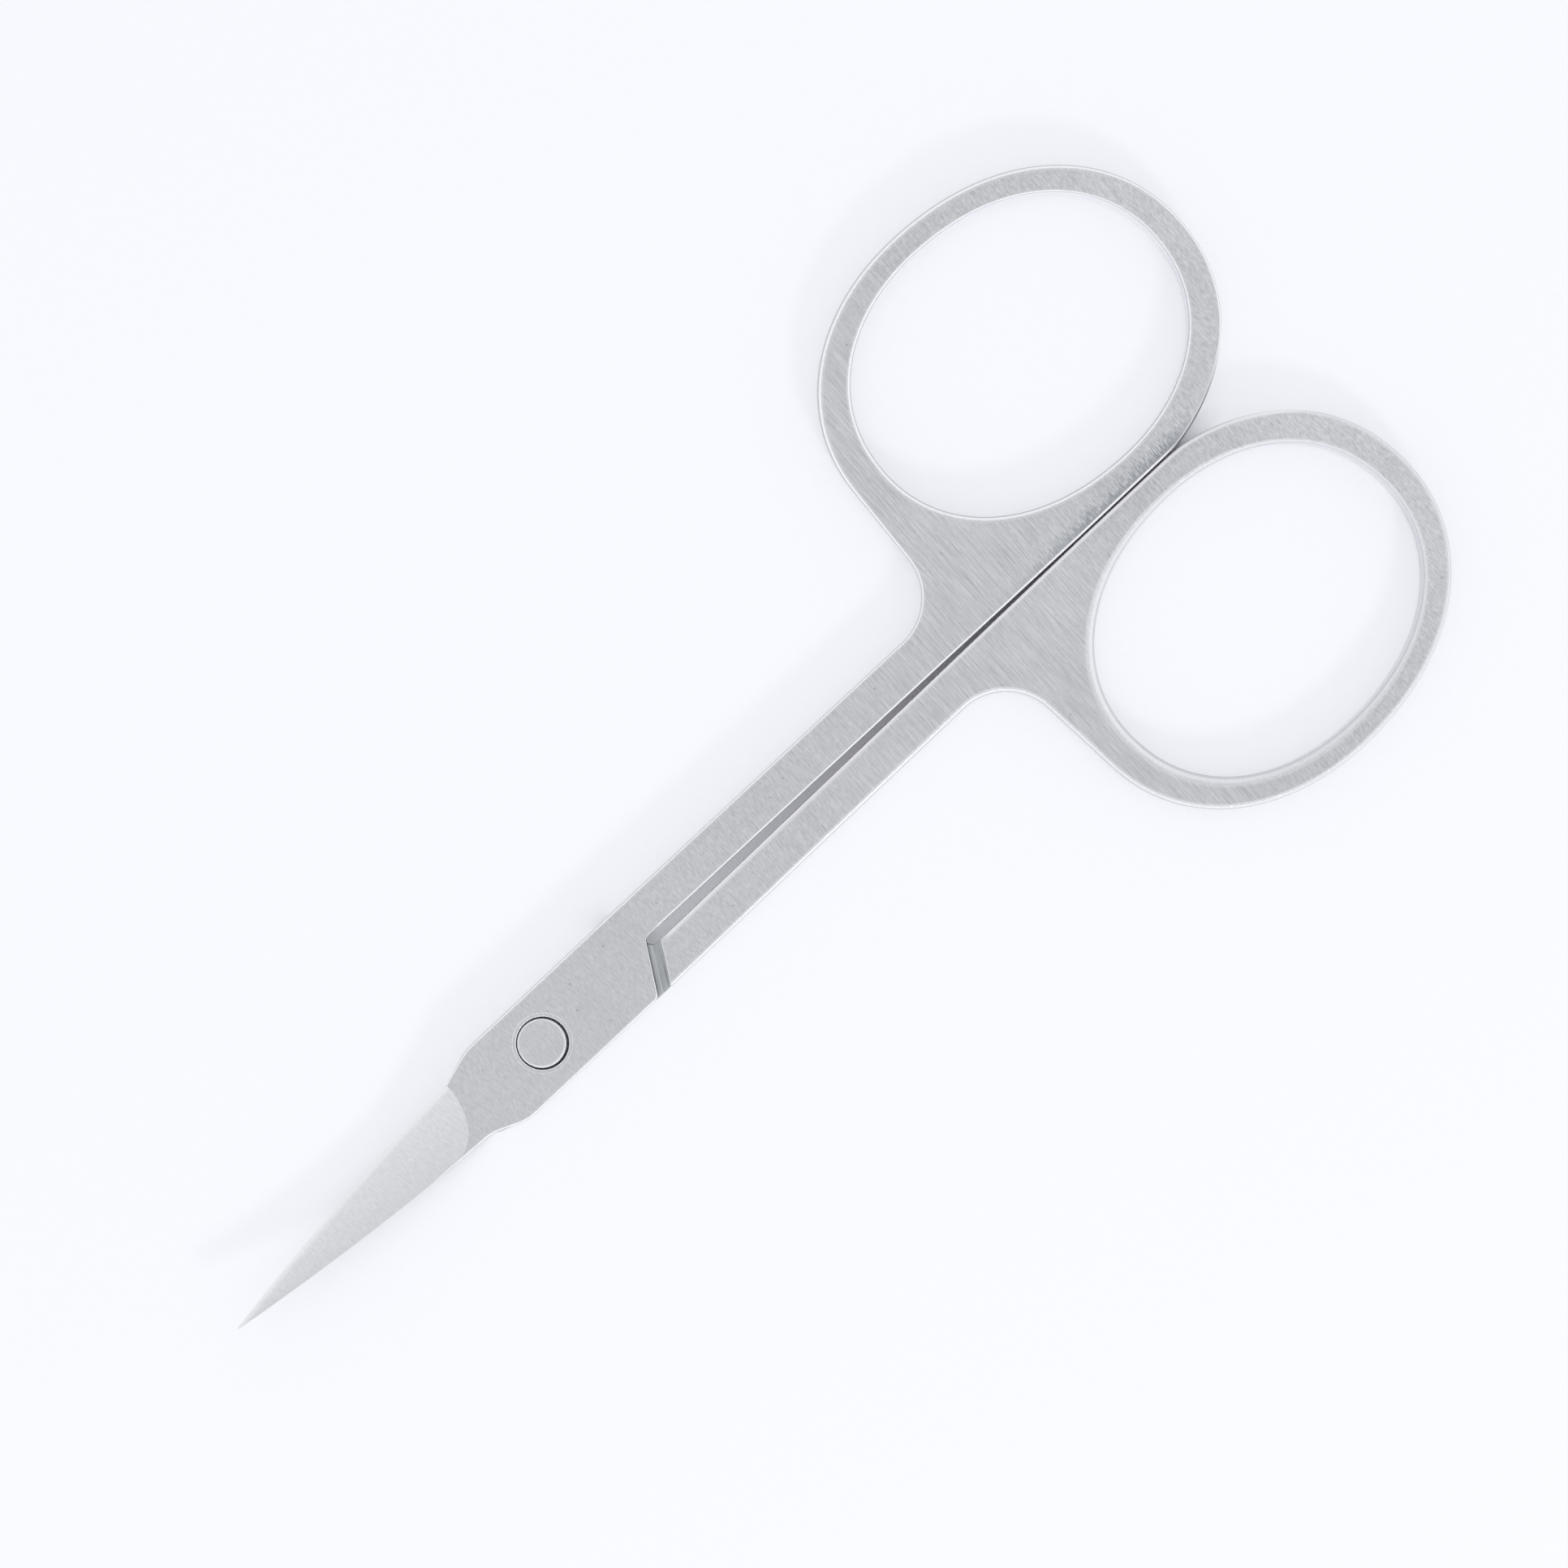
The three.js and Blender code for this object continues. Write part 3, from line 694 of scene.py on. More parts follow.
roughness = add_node(tree, "ShaderNodeMix", {
    0: rim.outputs[0], 2: tree.nodes["gloss"].outputs[0], 3: glint.outputs[0],
})
smoothed = add_node(tree, "ShaderNodeMix", {0: burnish_and_highlight.outputs[0], 2: roughness.outputs[0], 3: BURNISHED})
shader = tree.nodes["Principled BSDF"]
tree.links.new(colour, shader.inputs["Base Color"])
tree.links.new(smoothed.outputs[0], shader.inputs["Roughness"])
print("Brushed steel has", len(tree.nodes), "nodes")

# %% [markdown]
# Both halves are the same blank, so one outline serves for both. It is a closed line of straight edges,
# rounded corners and two ovals. Flat points are complex numbers here, because turning one is then a single
# multiplication.

# %% Sizes of a half, in mm
LAP_CLEARANCE = 0.05
RING_CLEARANCE = 0.1
TIP_REACH = -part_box("upper_blade")[0].x / MM
TIP_WIDTH = 0.1
HEEL_REACH = 6.1
HEEL_EDGE = 2.13
HEEL_SPINE = 2.0
HEEL_LENGTH = 2.23
HEEL_RADIUS = 3.0
EDGE_BOW = 0.26
SPINE_BOW = 0.24
LAP_HALF = 5.9 / 2
LAP_END = 9.0
LAP_LEAN = 1 / math.tan(math.radians(59))
LAP_END_RADIUS = 0.6
SHOULDER_GAP = 1.05
SLOT_WIDTH = 0.74
SLOT_LENGTH = 37.0
SLOT_CORNER_RADIUS = 0.4
ARM_NECK_EDGE = 2.82
NECK_RADIUS = 3.8
RING_REACH = 51.15
RING_OPENING_LENGTH = 22.3
RING_OPENING_WIDTH = 18.0
RING_END_BAND = 2.13
RING_SIDE_BAND = 1.87
RING_SET_BACK = complex(-0.22, -0.19)
RING_TILT = math.radians(-4)
RING_FULLNESS = 2.13
RING_HALF = RING_CLEARANCE / 2
LAP_FACE = (STOCK + LAP_CLEARANCE) / 2
LAP_THICKNESS = STOCK - LAP_FACE
print("Tip reach, mm:", round(TIP_REACH, 3), "lap face, mm:", round(LAP_FACE, 3))

# %% [markdown]
# The cutting edge and the back of a blade are almost straight. Each is a line from the heel to the tip with
# a slight bow added. The bow is nought at both ends, so heel and tip stay where their sizes put them.


# %% Edges of the blade
def runs(start, end, steps):
    return [start + (end - start) * i / steps for i in range(steps + 1)]


def clamp(share):
    return min(max(share, 0), 1)


def bow(share):
    return 4 * share * (1 - share)


def blade_share(x):
    return (-HEEL_REACH - x) / (TIP_REACH - HEEL_REACH)


def cutting_edge(x):
    share = blade_share(x)
    return HEEL_EDGE + (TIP_WIDTH / 2 - HEEL_EDGE) * share + EDGE_BOW * bow(share)


def spine(x):
    share = blade_share(x)
    return -HEEL_SPINE + (HEEL_SPINE - TIP_WIDTH / 2) * share - SPINE_BOW * bow(share)


print("Blade's width at the heel, mm:", round(cutting_edge(-HEEL_REACH) - spine(-HEEL_REACH), 2))

# %% [markdown]
# A corner is rounded by an arc that touches both of its sides. The rings are superellipses with a power a
# little above 2, because a true ellipse is leaner than these rings. Where the outer oval meets the side of
# the slot has no short formula, so that angle is found by halving a range.

# %% Corners and ovals
ANGLE_STEP = 1e-6
OPENING_CENTRE = complex(RING_REACH, RING_HALF + RING_SIDE_BAND + RING_OPENING_WIDTH / 2)


def round_corner(before, corner, after, radius, steps=14):
    to_before = (before - corner) / abs(before - corner)
    to_after = (after - corner) / abs(after - corner)
    opening = cmath.phase(to_after / to_before)
    half = abs(opening) / 2
    middle = (to_before + to_after) / abs(to_before + to_after)
    centre = corner + middle * radius / math.sin(half)
    start = corner + to_before * radius / math.tan(half) - centre
    sweep = -math.copysign(math.pi - 2 * half, opening)
    return [centre + start * cmath.rect(1, angle) for angle in runs(0, sweep, steps)]


def oval_point(centre, half_length, half_width, angle):
    power = 2 / RING_FULLNESS
    u = half_length * math.copysign(abs(math.cos(angle)) ** power, math.cos(angle))
    v = half_width * math.copysign(abs(math.sin(angle)) ** power, math.sin(angle))
    return complex(u, v) * cmath.rect(1, RING_TILT) + centre


def opening_point(angle):
    return oval_point(OPENING_CENTRE, RING_OPENING_LENGTH / 2, RING_OPENING_WIDTH / 2, angle)


def band_point(angle):
    half_length = RING_OPENING_LENGTH / 2 + RING_END_BAND
    half_width = RING_OPENING_WIDTH / 2 + RING_SIDE_BAND
    return oval_point(OPENING_CENTRE + RING_SET_BACK, half_length, half_width, angle)


def meeting_angle():
    low, high = -math.pi / 2, 0
    while high - low > ANGLE_STEP:
        middle = (low + high) / 2
        if band_point(middle).imag < RING_HALF:
            low = middle
        else:
            high = middle
    return high


print("The ring leaves the slot at", round(math.degrees(meeting_angle()), 1), "degrees of its oval")

# %% [markdown]
# The outline runs once round a half: back of the blade, heel, end of the lap, slot, ring, neck, arm and
# cutting edge. It could be drawn by hand as a curve, but points that are worked out from sizes stay right
# when a size is changed.

# %% Outline of a half
RING_STEPS = 180
BLADE_STEPS = 60
HEEL_TRIM = 0.1
HEEL_LEAD = 5
ARM_LEAD = 0.4


def half_outline():
    stations = runs(-HEEL_REACH, -TIP_REACH, BLADE_STEPS)
    lap_start = HEEL_LENGTH - HEEL_REACH
    edge_run = [complex(x, cutting_edge(x)) for x in stations]
    spine_run = [complex(x, spine(x)) for x in reversed(stations)]
    spine_heel = spine_run.pop()
    spine_lap = complex(lap_start, -LAP_HALF)
    heel_round = round_corner(spine_run[-HEEL_LEAD], spine_heel, spine_lap, HEEL_RADIUS)
    spine_run = [p for p in spine_run if p.real < heel_round[0].real - HEEL_TRIM]
    lap_outer = complex(LAP_END - LAP_HALF * LAP_LEAN, -LAP_HALF)
    slot_start = complex(LAP_END + SLOT_WIDTH / 2 * LAP_LEAN, SLOT_WIDTH / 2)
    slot_end = complex(LAP_END + SLOT_LENGTH, RING_HALF)
    ring_run = [band_point(a) for a in runs(meeting_angle(), math.pi, RING_STEPS)]
    ring_back = ring_run[-1]
    arm_root = complex(LAP_END + SHOULDER_GAP - LAP_HALF * LAP_LEAN + ARM_LEAD, LAP_HALF)
    neck_drop = ring_back.imag - ARM_NECK_EDGE
    neck = complex(ring_back.real + neck_drop * math.tan(RING_TILT), ARM_NECK_EDGE)
    edge_lap = complex(lap_start, LAP_HALF)
    return [
        *spine_run,
        *heel_round,
        *round_corner(spine_heel, spine_lap, lap_outer, HEEL_RADIUS),
        *round_corner(spine_lap, lap_outer, slot_start, LAP_END_RADIUS),
        *round_corner(lap_outer, slot_start, slot_end, SLOT_CORNER_RADIUS),
        slot_end,
        *ring_run,
        *round_corner(ring_back, neck, arm_root, NECK_RADIUS),
        arm_root,
        *round_corner(arm_root, edge_lap, edge_run[0], HEEL_RADIUS),
        *edge_run,
    ]


outline = half_outline()
opening = [opening_point(a) for a in runs(2 * math.pi, 0, RING_STEPS)[1:]]
print("Outline points:", len(outline), "opening points:", len(opening))

# %% [markdown]
# Tumbling rounds the rims, but not alike everywhere. The rounding is fine at the tip, the heel and the
# back, along the slot and on the sheared end of the lap, and wider on the far side of the rings. A punch
# also leaves one face of a blank crisp and rolls the other one's rims over, most of all round the finger
# opening. As the halves are turned over against each other, one shows its crisp face and one its rolled
# face.

# %% Rounding from place to place
CRISP_ROUND = 0.26
BACK_ROUND = 0.18
HEEL_ROUND = 0.08
FAR_ROUND = 0.5
FAR_FROM, FAR_FULL = 9.0, 18.0
ROLLED_ROUND = 0.38
ROLL_FROM, ROLL_FULL = 10.5, 13.0
CRISP_OPENING = (0.1, 0.26, 0.2)
ROLLED_OPENING = (0.3, 0.6, -0.1)
TIP_ROUND = 0.03
SPINE_CRISP = 2.5
SHEARED_ROUND = 0.05
SLOT_ROUND = 0.2
SLOT_ROLLED = 0.28
SLOT_FADE = 6.0


def outline_round(point, top):
    tip = clamp(SPINE_CRISP * blade_share(point.real))
    along_lap_end = clamp((point.imag + LAP_HALF) / LAP_END_RADIUS)
    past_lap_end = clamp((point.real - LAP_END - SLOT_CORNER_RADIUS) / LAP_END_RADIUS)
    torn = 0
    if LAP_END - LAP_HALF * LAP_LEAN - LAP_END_RADIUS < point.real and point.imag < SLOT_WIDTH:
        torn = along_lap_end * (1 - past_lap_end)
    slot_reach = SLOT_WIDTH if point.real < LAP_END + SLOT_LENGTH else SLOT_FADE
    by_slot = 0
    if point.real > LAP_END and point.imag < slot_reach:
        by_slot = clamp(2 - 2 * point.imag / SLOT_FADE)
    past_lap = clamp((point.real - ROLL_FROM) / (ROLL_FULL - ROLL_FROM))
    rolled = past_lap * (1 - top)
    far = clamp((point.imag - FAR_FROM) / (FAR_FULL - FAR_FROM))
    size = BACK_ROUND
    if point.imag > 0:
        size = CRISP_ROUND + (FAR_ROUND - CRISP_ROUND) * far
        size += (ROLLED_ROUND - size) * rolled
        size = HEEL_ROUND + (size - HEEL_ROUND) * clamp((point.real + HEEL_REACH) / HEEL_LENGTH)
    size += (TIP_ROUND - size) * tip
    size += (SLOT_ROUND + (SLOT_ROLLED - SLOT_ROUND) * rolled - size) * by_slot
    return size + (SHEARED_ROUND - size) * torn


def opening_round(point, top):
    """The least rounding, and what is added towards the arm and towards the slot."""
    least, by_arm, by_slot = CRISP_OPENING if top else ROLLED_OPENING
    to_arm = clamp(0.5 + (OPENING_CENTRE.real - point.real) / RING_OPENING_LENGTH)
    to_slot = clamp(0.5 + (OPENING_CENTRE.imag - point.imag) / RING_OPENING_WIDTH)
    return least + by_arm * to_arm + by_slot * to_slot


for face, top in (("crisp", 1), ("rolled", 0)):
    sizes = [outline_round(p, top) for p in outline] + [opening_round(p, top) for p in opening]
    print("Rounding of the", face, "face, mm:", round(min(sizes), 2), "to", round(max(sizes), 2))

# %% [markdown]
# The blank starts as a circle whose points are moved onto the outline. Extruding that line step by step
# gives a wall, and drawing the first and last steps in gives it rounded rims. A Bevel would do this too on
# a plain plate, but not with a rounding that changes from place to place. One more step, flat on the face,
# keeps the soft shading of the rims within a narrow band.

# %% Walls with rounded rims
RIM_STEPS = 6
FACE_BAND = 0.2
TIP_BAND = 0.01


def rim_levels():
    """Inset, band, top or bottom, and rise of each step, from the bottom face over the wall to the top."""
    quarter = [math.pi / 2 * i / RIM_STEPS for i in range(RIM_STEPS + 1)]
    lower = [(1, 1, 0, 0)] + [(1 - math.sin(a), 0, 0, 1 - math.cos(a)) for a in quarter]
    return lower + [(inset, band, 1, -rise) for inset, band, _, rise in reversed(lower)]


def inward(line, i):
    come = line[i] - line[i - 1]
    go = line[(i + 1) % len(line)] - line[i]
    normal_in = 1j * come / abs(come)
    normal_out = 1j * go / abs(go)
    turn = 1 + (normal_in * normal_out.conjugate()).real
    return (normal_in + normal_out) / turn


def walled_line(name, line, rim_round):
    levels = rim_levels()
    bpy.ops.object.select_all(action="DESELECT")
    bpy.ops.mesh.primitive_circle_add(vertices=len(line), radius=1)
    wall = bpy.context.object
    wall.name = name
    bpy.ops.object.mode_set(mode="EDIT")
    bpy.ops.mesh.select_all(action="SELECT")
    for _ in levels[1:]:
        bpy.ops.mesh.extrude_edges_move(TRANSFORM_OT_translate={"value": (0, 0, 1)})
    bpy.ops.object.mode_set(mode="OBJECT")
    for vertex in wall.data.vertices:
        level, i = divmod(vertex.index, len(line))
        inset, band, top, rise = levels[level]
        size = rim_round(line[i], top)
        band_width = FACE_BAND + (TIP_BAND - FACE_BAND) * clamp(blade_share(line[i].real))
        point = line[i] + inward(line, i) * (inset * size + band * band_width)
        vertex.co = (point.real, point.imag, top * STOCK + rise * size)
    return wall


outer_wall = walled_line("blank", outline, outline_round)
inner_wall = walled_line("opening", opening, opening_round)
print("Walls:", len(outer_wall.data.polygons), "and", len(inner_wall.data.polygons), "faces")

# %% [markdown]
# The two walls become one mesh, and the top and bottom faces are filled in between them. Fill takes an
# outer and an inner line at once, so the finger opening stays open. The faces are shaded flat and the rims
# smooth.


# %% Blank
def join(first, second):
    bpy.ops.object.select_all(action="DESELECT")
    second.select_set(True)
    first.select_set(True)
    bpy.context.view_layer.objects.active = first
    bpy.ops.object.join()
    return first


def select_vertices(piece, wanted):
    bpy.ops.object.mode_set(mode="OBJECT")
    for part in (piece.data.polygons, piece.data.edges, piece.data.vertices):
        for item in part:
            item.select = False
    for index in wanted:
        piece.data.vertices[index].select = True
    bpy.ops.object.mode_set(mode="EDIT")
    bpy.ops.mesh.select_mode(type="VERT")


blank = join(outer_wall, inner_wall)
blank.data.materials.append(brushed)
bpy.ops.object.shade_smooth()
last_level = len(rim_levels()) - 1
opening_start = len(outline) * (last_level + 1)
for level in (0, last_level):
    outer = range(level * len(outline), (level + 1) * len(outline))
    inner = range(opening_start + level * len(opening), opening_start + (level + 1) * len(opening))
    select_vertices(blank, [*outer, *inner])
    bpy.ops.mesh.fill(use_beauty=False)
    bpy.ops.mesh.faces_shade_flat()
bpy.ops.mesh.select_all(action="SELECT")
bpy.ops.mesh.normals_make_consistent(inside=False)
bpy.ops.object.mode_set(mode="OBJECT")
print("Blank:", len(blank.data.vertices), "points,", len(blank.data.polygons), "faces")

# %% [markdown]
# The end of the lap shows the torn wall of the shearing, painted dark as painted shade at the lap's end.
# Its faces are found by where they look and where they are, and get that finish.

# %% Sheared end of the lap
FACING_ALIKE = 0.9

blank.data.materials.append(sheared)
lap_end_normal = Vector((1, -LAP_LEAN, 0)).normalized()
for face in blank.data.polygons:
    near_end = abs(face.center.x - LAP_END) < 2 * LAP_HALF * LAP_LEAN
    if near_end and face.normal.dot(lap_end_normal) > FACING_ALIKE:
        face.material_index = 1
print("Sheared faces:", sum(face.material_index for face in blank.data.polygons))

# %% [markdown]
# The half-lap, the ground face and the rivet's seats are cut as in the workshop: a tool of the right shape
# is taken away from the blank with a Boolean, which also hands over the tool's finish to the face that it
# cuts.


# %% Tools and cuts
def cut(piece, tool):
    bpy.ops.object.mode_set(mode="OBJECT")
    bpy.ops.object.select_all(action="DESELECT")
    piece.select_set(True)
    bpy.context.view_layer.objects.active = piece
    boolean = piece.modifiers.new("cut", "BOOLEAN")
    boolean.operation = "DIFFERENCE"
    boolean.solver = "EXACT"
    boolean.material_mode = "TRANSFER"
    boolean.object = tool
    bpy.ops.object.modifier_apply(modifier=boolean.name)
    bpy.data.objects.remove(tool)


def closed(tool, *finishes):
    bpy.ops.mesh.select_all(action="SELECT")
    bpy.ops.mesh.normals_make_consistent(inside=False)
    bpy.ops.mesh.faces_shade_smooth()
    bpy.ops.object.mode_set(mode="OBJECT")
    for finish in finishes:
        tool.data.materials.append(finish)
    return tool


print("Finishes of the blank before the cuts:", [m.name for m in blank.data.materials])

# %% [markdown]
# The half-lap takes away the lower half of the thickness, from the blade's tip to a slanted shoulder. The
# shoulder's upper edge is rounded by a flare at the mouth of the tool, and only that flare is bright: it
# gets the brushed finish, whose painted highlight lines on the rims light it.

# %% Half-lap
SHOULDER_ROUND = 0.14
FLARE_PAST = 0.01
FLARE_SLOPES = (0.02, 0.98)
TOOL_OVERRUN = 1.0
MILL_LENGTH = 42.0
MILL_SIDE = 6.0


def lap_mill():
    arc = [math.pi / 2 * i / RIM_STEPS for i in range(RIM_STEPS + 1)]
    middle = SHOULDER_ROUND - FLARE_PAST
    section = [(-MILL_LENGTH, LAP_FACE), (0, LAP_FACE)]
    section += [(SHOULDER_ROUND * (1 - math.cos(a)), middle - SHOULDER_ROUND * math.sin(a)) for a in arc]
    section += [(SHOULDER_ROUND, -TOOL_OVERRUN), (-MILL_LENGTH, -TOOL_OVERRUN)]
    along = Vector((-LAP_LEAN, 1, 0)).normalized()
    away = Vector((1, LAP_LEAN, 0)).normalized()
    start = Vector((LAP_END + SHOULDER_GAP, 0, 0)) - along * MILL_SIDE
    bpy.ops.object.select_all(action="DESELECT")
    bpy.ops.mesh.primitive_circle_add(vertices=len(section), radius=1, fill_type="NGON")
    mill = bpy.context.object
    for vertex, (across, up) in zip(mill.data.vertices, section):
        vertex.co = start + away * across + Vector((0, 0, up))
    bpy.ops.object.mode_set(mode="EDIT")
    bpy.ops.mesh.select_all(action="SELECT")
    far = along * (MILL_SIDE + MILL_LENGTH)
    bpy.ops.mesh.extrude_region_move(TRANSFORM_OT_translate={"value": tuple(far)})
    closed(mill, milled, brushed)
    for face in mill.data.polygons:
        face.material_index = 1 if FLARE_SLOPES[0] < abs(face.normal.z) < FLARE_SLOPES[1] else 0
    return mill


cut(blank, lap_mill())
print("With the half-lap:", len(blank.data.polygons), "faces")

# %% [markdown]
# Seen from inside, a blade is slightly hollow, so that only its edge and its back touch the other blade.
# The tool for that is a grid whose points are moved onto the hollow surface and which is then extruded.

# %% Hollow of the inner face
HOLLOW_DEPTH = 0.1
HOLLOW_RUN_OUT = 3.0
HOLLOW_SKIM = 0.004
HOLLOW_LEAD = 0.2
HOLLOW_PAST_TIP = 0.4
HOLLOW_LEAST_WIDTH = 1.0
HOLLOW_COLUMNS, HOLLOW_ROWS = 60, 14
SIDE_MARGIN = 0.15


def grid_tool(columns, rows, surface, thickness, finish):
    bpy.ops.object.select_all(action="DESELECT")
    bpy.ops.mesh.primitive_grid_add(x_subdivisions=columns, y_subdivisions=rows, size=2)
    tool = bpy.context.object
    for vertex in tool.data.vertices:
        vertex.co = surface((vertex.co.x + 1) / 2, (vertex.co.y + 1) / 2)
    bpy.ops.object.mode_set(mode="EDIT")
    bpy.ops.mesh.select_all(action="SELECT")
    bpy.ops.mesh.extrude_region_move(TRANSFORM_OT_translate={"value": (0, 0, thickness)})
    return closed(tool, finish)


def hollow_surface(u, v):
    start = HOLLOW_LEAD - HEEL_REACH
    x = start + (-TIP_REACH - HOLLOW_PAST_TIP - start) * u
    width = cutting_edge(x) - spine(x)
    tool_width = max(width, HOLLOW_LEAST_WIDTH)
    share = -SIDE_MARGIN + (1 + 2 * SIDE_MARGIN) * v
    y = cutting_edge(x) - share * tool_width + (tool_width - width) / 2
    run_out = clamp((-HEEL_REACH - x) / HOLLOW_RUN_OUT)
    depth = HOLLOW_DEPTH * max(bow(share), 0) * run_out * (max(width, 0) / (HEEL_EDGE + HEEL_SPINE)) ** 2
    return x, y, LAP_FACE + HOLLOW_SKIM + depth


cut(blank, grid_tool(HOLLOW_COLUMNS, HOLLOW_ROWS, hollow_surface, -LAP_FACE, ground))
print("With the hollow:", len(blank.data.polygons), "faces")

# %% [markdown]
# The outer face of the blade is ground down to a thin edge. The wheel runs out towards the pivot in the
# thumbnail curve that all ground blades have, so the tool's first column of points follows that curve. The
# columns stand closer together at the heel, where the face curves most.

# %% Ground face of the blade
EDGE_LAND = 0.19
GRIND_WIDTH = 4.1
GRIND_ROLL = 1.5
GRIND_SWEEP = 2.8
GRIND_RUN_OUT = 8.0
GRIND_MARGIN = 0.13
GRIND_LIFT = 0.004
GRIND_RISE = 0.2
GRIND_CROWDING = 1.4
GRIND_COLUMNS, GRIND_ROWS = 72, 30


def grind_start(across):
    return -HEEL_REACH - GRIND_SWEEP * (1 - math.sqrt(1 - clamp(across) ** 2))


def grind_depth(along, across):
    roll = max(1 - across, 0) ** GRIND_ROLL
    left = max(1 - along / GRIND_RUN_OUT, 0)
    return max((LAP_THICKNESS - EDGE_LAND) * roll * (1 - left ** 2), 0)


def ground_surface(u, v):
    column = round(u * GRIND_COLUMNS)
    length = TIP_REACH - HEEL_REACH + TOOL_OVERRUN
    along = -TOOL_OVERRUN
    if column > 0:
        along = length * ((column - 1) / (GRIND_COLUMNS - 1)) ** GRIND_CROWDING
    across = -GRIND_MARGIN + (1 + 2 * GRIND_MARGIN) * v
    x = grind_start(across) - along
    y = cutting_edge(x) - across * GRIND_WIDTH
    lift = GRIND_LIFT + GRIND_RISE * max(-along, 0) + max(across - 1, 0)
    return x, y, STOCK - grind_depth(along, across) + lift


cut(blank, grid_tool(GRIND_COLUMNS, GRIND_ROWS, ground_surface, TOOL_OVERRUN, ground))
print("With the ground face:", len(blank.data.polygons), "faces")

# %% [markdown]
# Both halves of such scissors come from one die. So the second half is a copy of the first, turned over
# about the long axis. A mirrored copy would have its half-lap on the wrong side.

# %% Two halves
bpy.ops.object.select_all(action="DESELECT")
blank.select_set(True)
bpy.context.view_layer.objects.active = blank
bpy.ops.object.duplicate()
lower = bpy.context.object
lower.name = "lower_half_steel"
lower.data.name = "lower_half_steel"
lower.data.transform(Matrix.Translation((0, 0, STOCK)) @ Matrix.Rotation(math.pi, 4, "X"))
lower.data.materials[lower.data.materials.find(milled.name)] = milled_below
upper = blank
upper.name = "upper_half_steel"
upper.data.name = "upper_half_steel"
print("Halves:", upper.name, "and", lower.name)

# %% [markdown]
# Each half gets its own seat for the rivet. A seat's tool is turned as on a lathe: a disc that is extruded
# and scaled along its profile. The rivet itself is made the same way further down.

# %% Turned shapes
SHANK_RADIUS = 1.1
HEAD_RADIUS = (rivet_high.x - rivet_low.x) / 2 / MM
HEAD_DEPTH = 0.5
TAIL_RADIUS = 1.5
TAIL_DEPTH = 0.45


def turned(name, profile, steps=96):
    bpy.ops.object.select_all(action="DESELECT")
    radius, level = profile[0]
    bpy.ops.mesh.primitive_circle_add(vertices=steps, radius=radius, fill_type="NGON", location=(0, 0, 0))
    made = bpy.context.object
    made.name = name
    for vertex in made.data.vertices:
        vertex.co.z = level
    bpy.ops.object.mode_set(mode="EDIT")
    bpy.ops.mesh.select_all(action="SELECT")
    for next_radius, next_level in profile[1:]:
        bpy.ops.mesh.extrude_region_move(TRANSFORM_OT_translate={"value": (0, 0, next_level - level)})
        grow = next_radius / radius
        bpy.ops.transform.resize(value=(grow, grow, 1), center_override=(0, 0, next_level))
        radius, level = next_radius, next_level
    return made


def fillet(start_radius, start_level, size, side, steps=4):
    """Radius and height pairs of a quarter round from a wall to a face above it, outwards or inwards."""
    turns = [math.pi / 2 * i / steps for i in range(1, steps + 1)]
    return [
        (start_radius + side * size * (1 - math.cos(a)), start_level + size * math.sin(a)) for a in turns
    ]


print("Rivet head, mm:", round(2 * HEAD_RADIUS, 2), "across and", HEAD_DEPTH, "deep")

# %% [markdown]
# The rivet's flat head lies in a counterbore that is a little wider than it and, as on most scissors, not
# quite concentric, so the dark gap round the head is thicker on one side. The riveting press also left a
# shallow ring round the seat.

# %% Seat of the head
PIVOT_CLEARANCE = 0.05
HEAD_CLEARANCE = 0.1
HEAD_LIFT = 0.03
SEAT_ROUND = 0.07
SEAT_OFFSET = (0.045, -0.035)
PRESS_WIDTH = 0.22
PRESS_DEPTH = 0.014

bore = SHANK_RADIUS + PIVOT_CLEARANCE
counterbore = HEAD_RADIUS + HEAD_CLEARANCE
press_side = counterbore + PRESS_WIDTH + 2 * PRESS_DEPTH
seat_floor = STOCK - HEAD_DEPTH - HEAD_LIFT
seat_mouth = STOCK - PRESS_DEPTH - SEAT_ROUND
head_seat = turned("head_seat", [
    (bore, 0), (bore, seat_floor), (counterbore, seat_floor), (counterbore, seat_mouth),
    *fillet(counterbore, seat_mouth, SEAT_ROUND, 1),
    (counterbore + PRESS_WIDTH, STOCK - PRESS_DEPTH),
    (press_side, STOCK + PRESS_DEPTH / 3), (press_side, STOCK + TOOL_OVERRUN),
])
# The seat's floor and walls get the painted shade.
closed(head_seat, seat_painted_shade, brushed)
for vertex in head_seat.data.vertices:
    if math.hypot(vertex.co.x, vertex.co.y) > counterbore - HEAD_CLEARANCE:
        vertex.co += Vector((*SEAT_OFFSET, 0))
for face in head_seat.data.polygons:
    face.material_index = 1 if face.center.z > seat_mouth else 0
cut(upper, head_seat)
print("Upper half with its seat:", len(upper.data.polygons), "faces")

# %% [markdown]
# The tail is peened into a countersink of the lower half and fills it, so this seat hardly shows. Its tool
# is a cone that goes on below the plate, because a tool that ends level with a face doesn't cut it cleanly.

# %% Seat of the tail
TAIL_CLEARANCE = 0.02

tail_bore = SHANK_RADIUS + TAIL_CLEARANCE
tail_mouth = TAIL_RADIUS + TAIL_CLEARANCE
tail_slope = (tail_mouth - tail_bore) / TAIL_DEPTH
tail_seat = turned("tail_seat", [
    (tail_mouth + tail_slope * TOOL_OVERRUN, -TOOL_OVERRUN), (tail_bore, TAIL_DEPTH), (tail_bore, STOCK),
])
cut(lower, closed(tail_seat, seat_painted_shade))
print("Lower half with its seat:", len(lower.data.polygons), "faces")

# %% [markdown]
# Smooth shading runs over the rounded rims and stops where one finish meets another, because a cut leaves a
# crisp line. The flat faces of the blank stay flat.

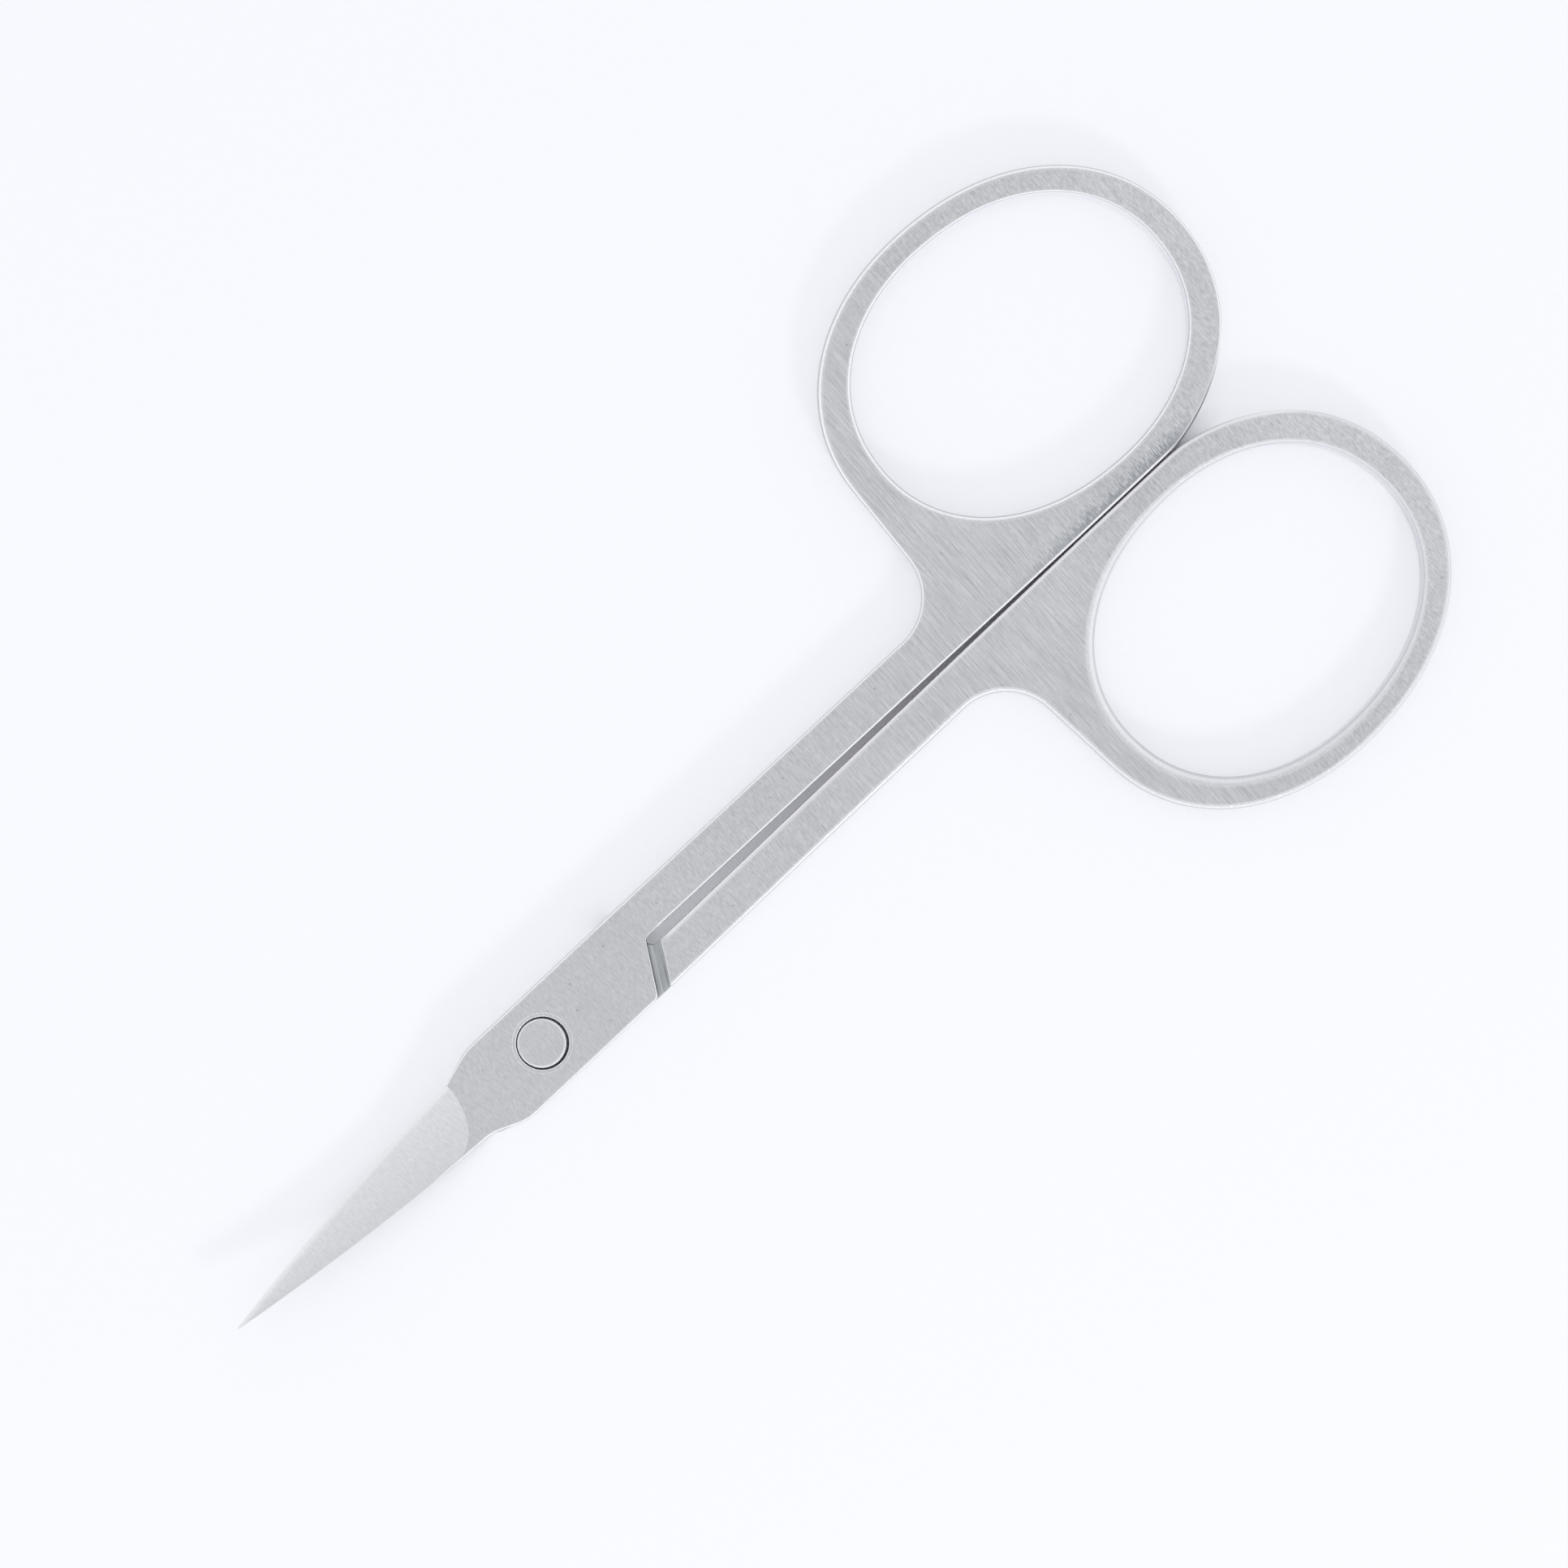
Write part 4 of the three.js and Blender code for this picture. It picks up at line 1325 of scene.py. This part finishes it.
# %% Crisp and soft edges
SOFT_ANGLE = math.radians(30)


def soften(piece):
    bpy.ops.object.select_all(action="DESELECT")
    piece.select_set(True)
    bpy.context.view_layer.objects.active = piece
    bpy.ops.object.shade_smooth_by_angle(angle=SOFT_ANGLE)


def crisp_between_finishes(mesh):
    finishes = {}
    for face in mesh.polygons:
        for key in face.edge_keys:
            finishes.setdefault(key, set()).add(face.material_index)
    for edge in mesh.edges:
        if len(finishes[edge.key]) > 1:
            edge.use_edge_sharp = True


for half in (upper, lower):
    plain = [face.index for face in half.data.polygons if not face.use_smooth]
    soften(half)
    for index in plain:
        half.data.polygons[index].use_smooth = False
    crisp_between_finishes(half.data)
    print(half.name, "has", sum(edge.use_edge_sharp for edge in half.data.edges), "crisp edges")

# %% [markdown]
# The ground finish asks each point for its distance from the cutting edge, and for its place between edge
# and back, to place its painted highlight and shade. Both are written into the mesh as attributes, while
# the half is still flat and in millimetres.


# %% Distances from the cutting edge
def write_distances(mesh, side):
    for name in ("from_edge", "across_blade"):
        mesh.attributes.new(name, "FLOAT", "POINT")
    for vertex in mesh.vertices:
        edge = cutting_edge(vertex.co.x)
        distance = edge - side * vertex.co.y
        mesh.attributes["from_edge"].data[vertex.index].value = distance
        mesh.attributes["across_blade"].data[vertex.index].value = distance / (edge - spine(vertex.co.x))


for half, side in ((upper, 1), (lower, -1)):
    write_distances(half.data, side)
    print(half.name, "has distances at", len(half.data.vertices), "points")

# %% [markdown]
# The blades curve upwards, away from the table, as nail scissors do: points beyond the heel are lifted by a
# circle's arc, near enough a parabola. It depends on the distance from the pivot alone, so the blades keep
# their gap as they open. Then the halves are scaled to metres.

# %% Curve of the blades
CURVE_START = 6.5
CURVE_RADIUS = 95.0


def curve_up(mesh):
    for vertex in mesh.vertices:
        if vertex.co.x < 0:
            past = max(math.hypot(vertex.co.x, vertex.co.y) - CURVE_START, 0)
            vertex.co.z += past ** 2 / (2 * CURVE_RADIUS)


for half in (upper, lower):
    curve_up(half.data)
    print(half.name, "reaches up to, mm:", round(max(v.co.z for v in half.data.vertices), 3))
    half.data.transform(Matrix.Scale(MM, 4))
    half.data.update()

# %% [markdown]
# The rivet is turned in one piece: a tail that fills its countersink, a plain shank and a flat head with a
# rounded edge. Its head is brushed with the plate round it.

# %% Rivet
HEAD_ROUND = 0.2
HEAD_BAND = 0.15

rivet = turned("rivet_steel", [
    (TAIL_RADIUS, 0), (SHANK_RADIUS, TAIL_DEPTH), (SHANK_RADIUS, STOCK - HEAD_DEPTH),
    (HEAD_RADIUS, STOCK - HEAD_DEPTH), (HEAD_RADIUS, STOCK - HEAD_ROUND),
    *fillet(HEAD_RADIUS, STOCK - HEAD_ROUND, HEAD_ROUND, -1),
    (HEAD_RADIUS - HEAD_ROUND - HEAD_BAND, STOCK),
])
closed(rivet, brushed)
rivet.data.transform(Matrix.Scale(MM, 4))
soften(rivet)
print("Rivet:", len(rivet.data.polygons), "faces")

# %% [markdown]
# Each piece now rides on its CAD body, so that it moves with the pivot. It also stands for its CAD node,
# which is hidden.

# %% Ride on the bodies
for piece, node, body in (
    (upper, "upper_blade", "upper_half"),
    (lower, "lower_blade", "lower_half"),
    (rivet, "pivot_rivet", "lower_half"),
):
    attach(piece, body)
    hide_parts(node)
    print(piece.name, "rides on", body)
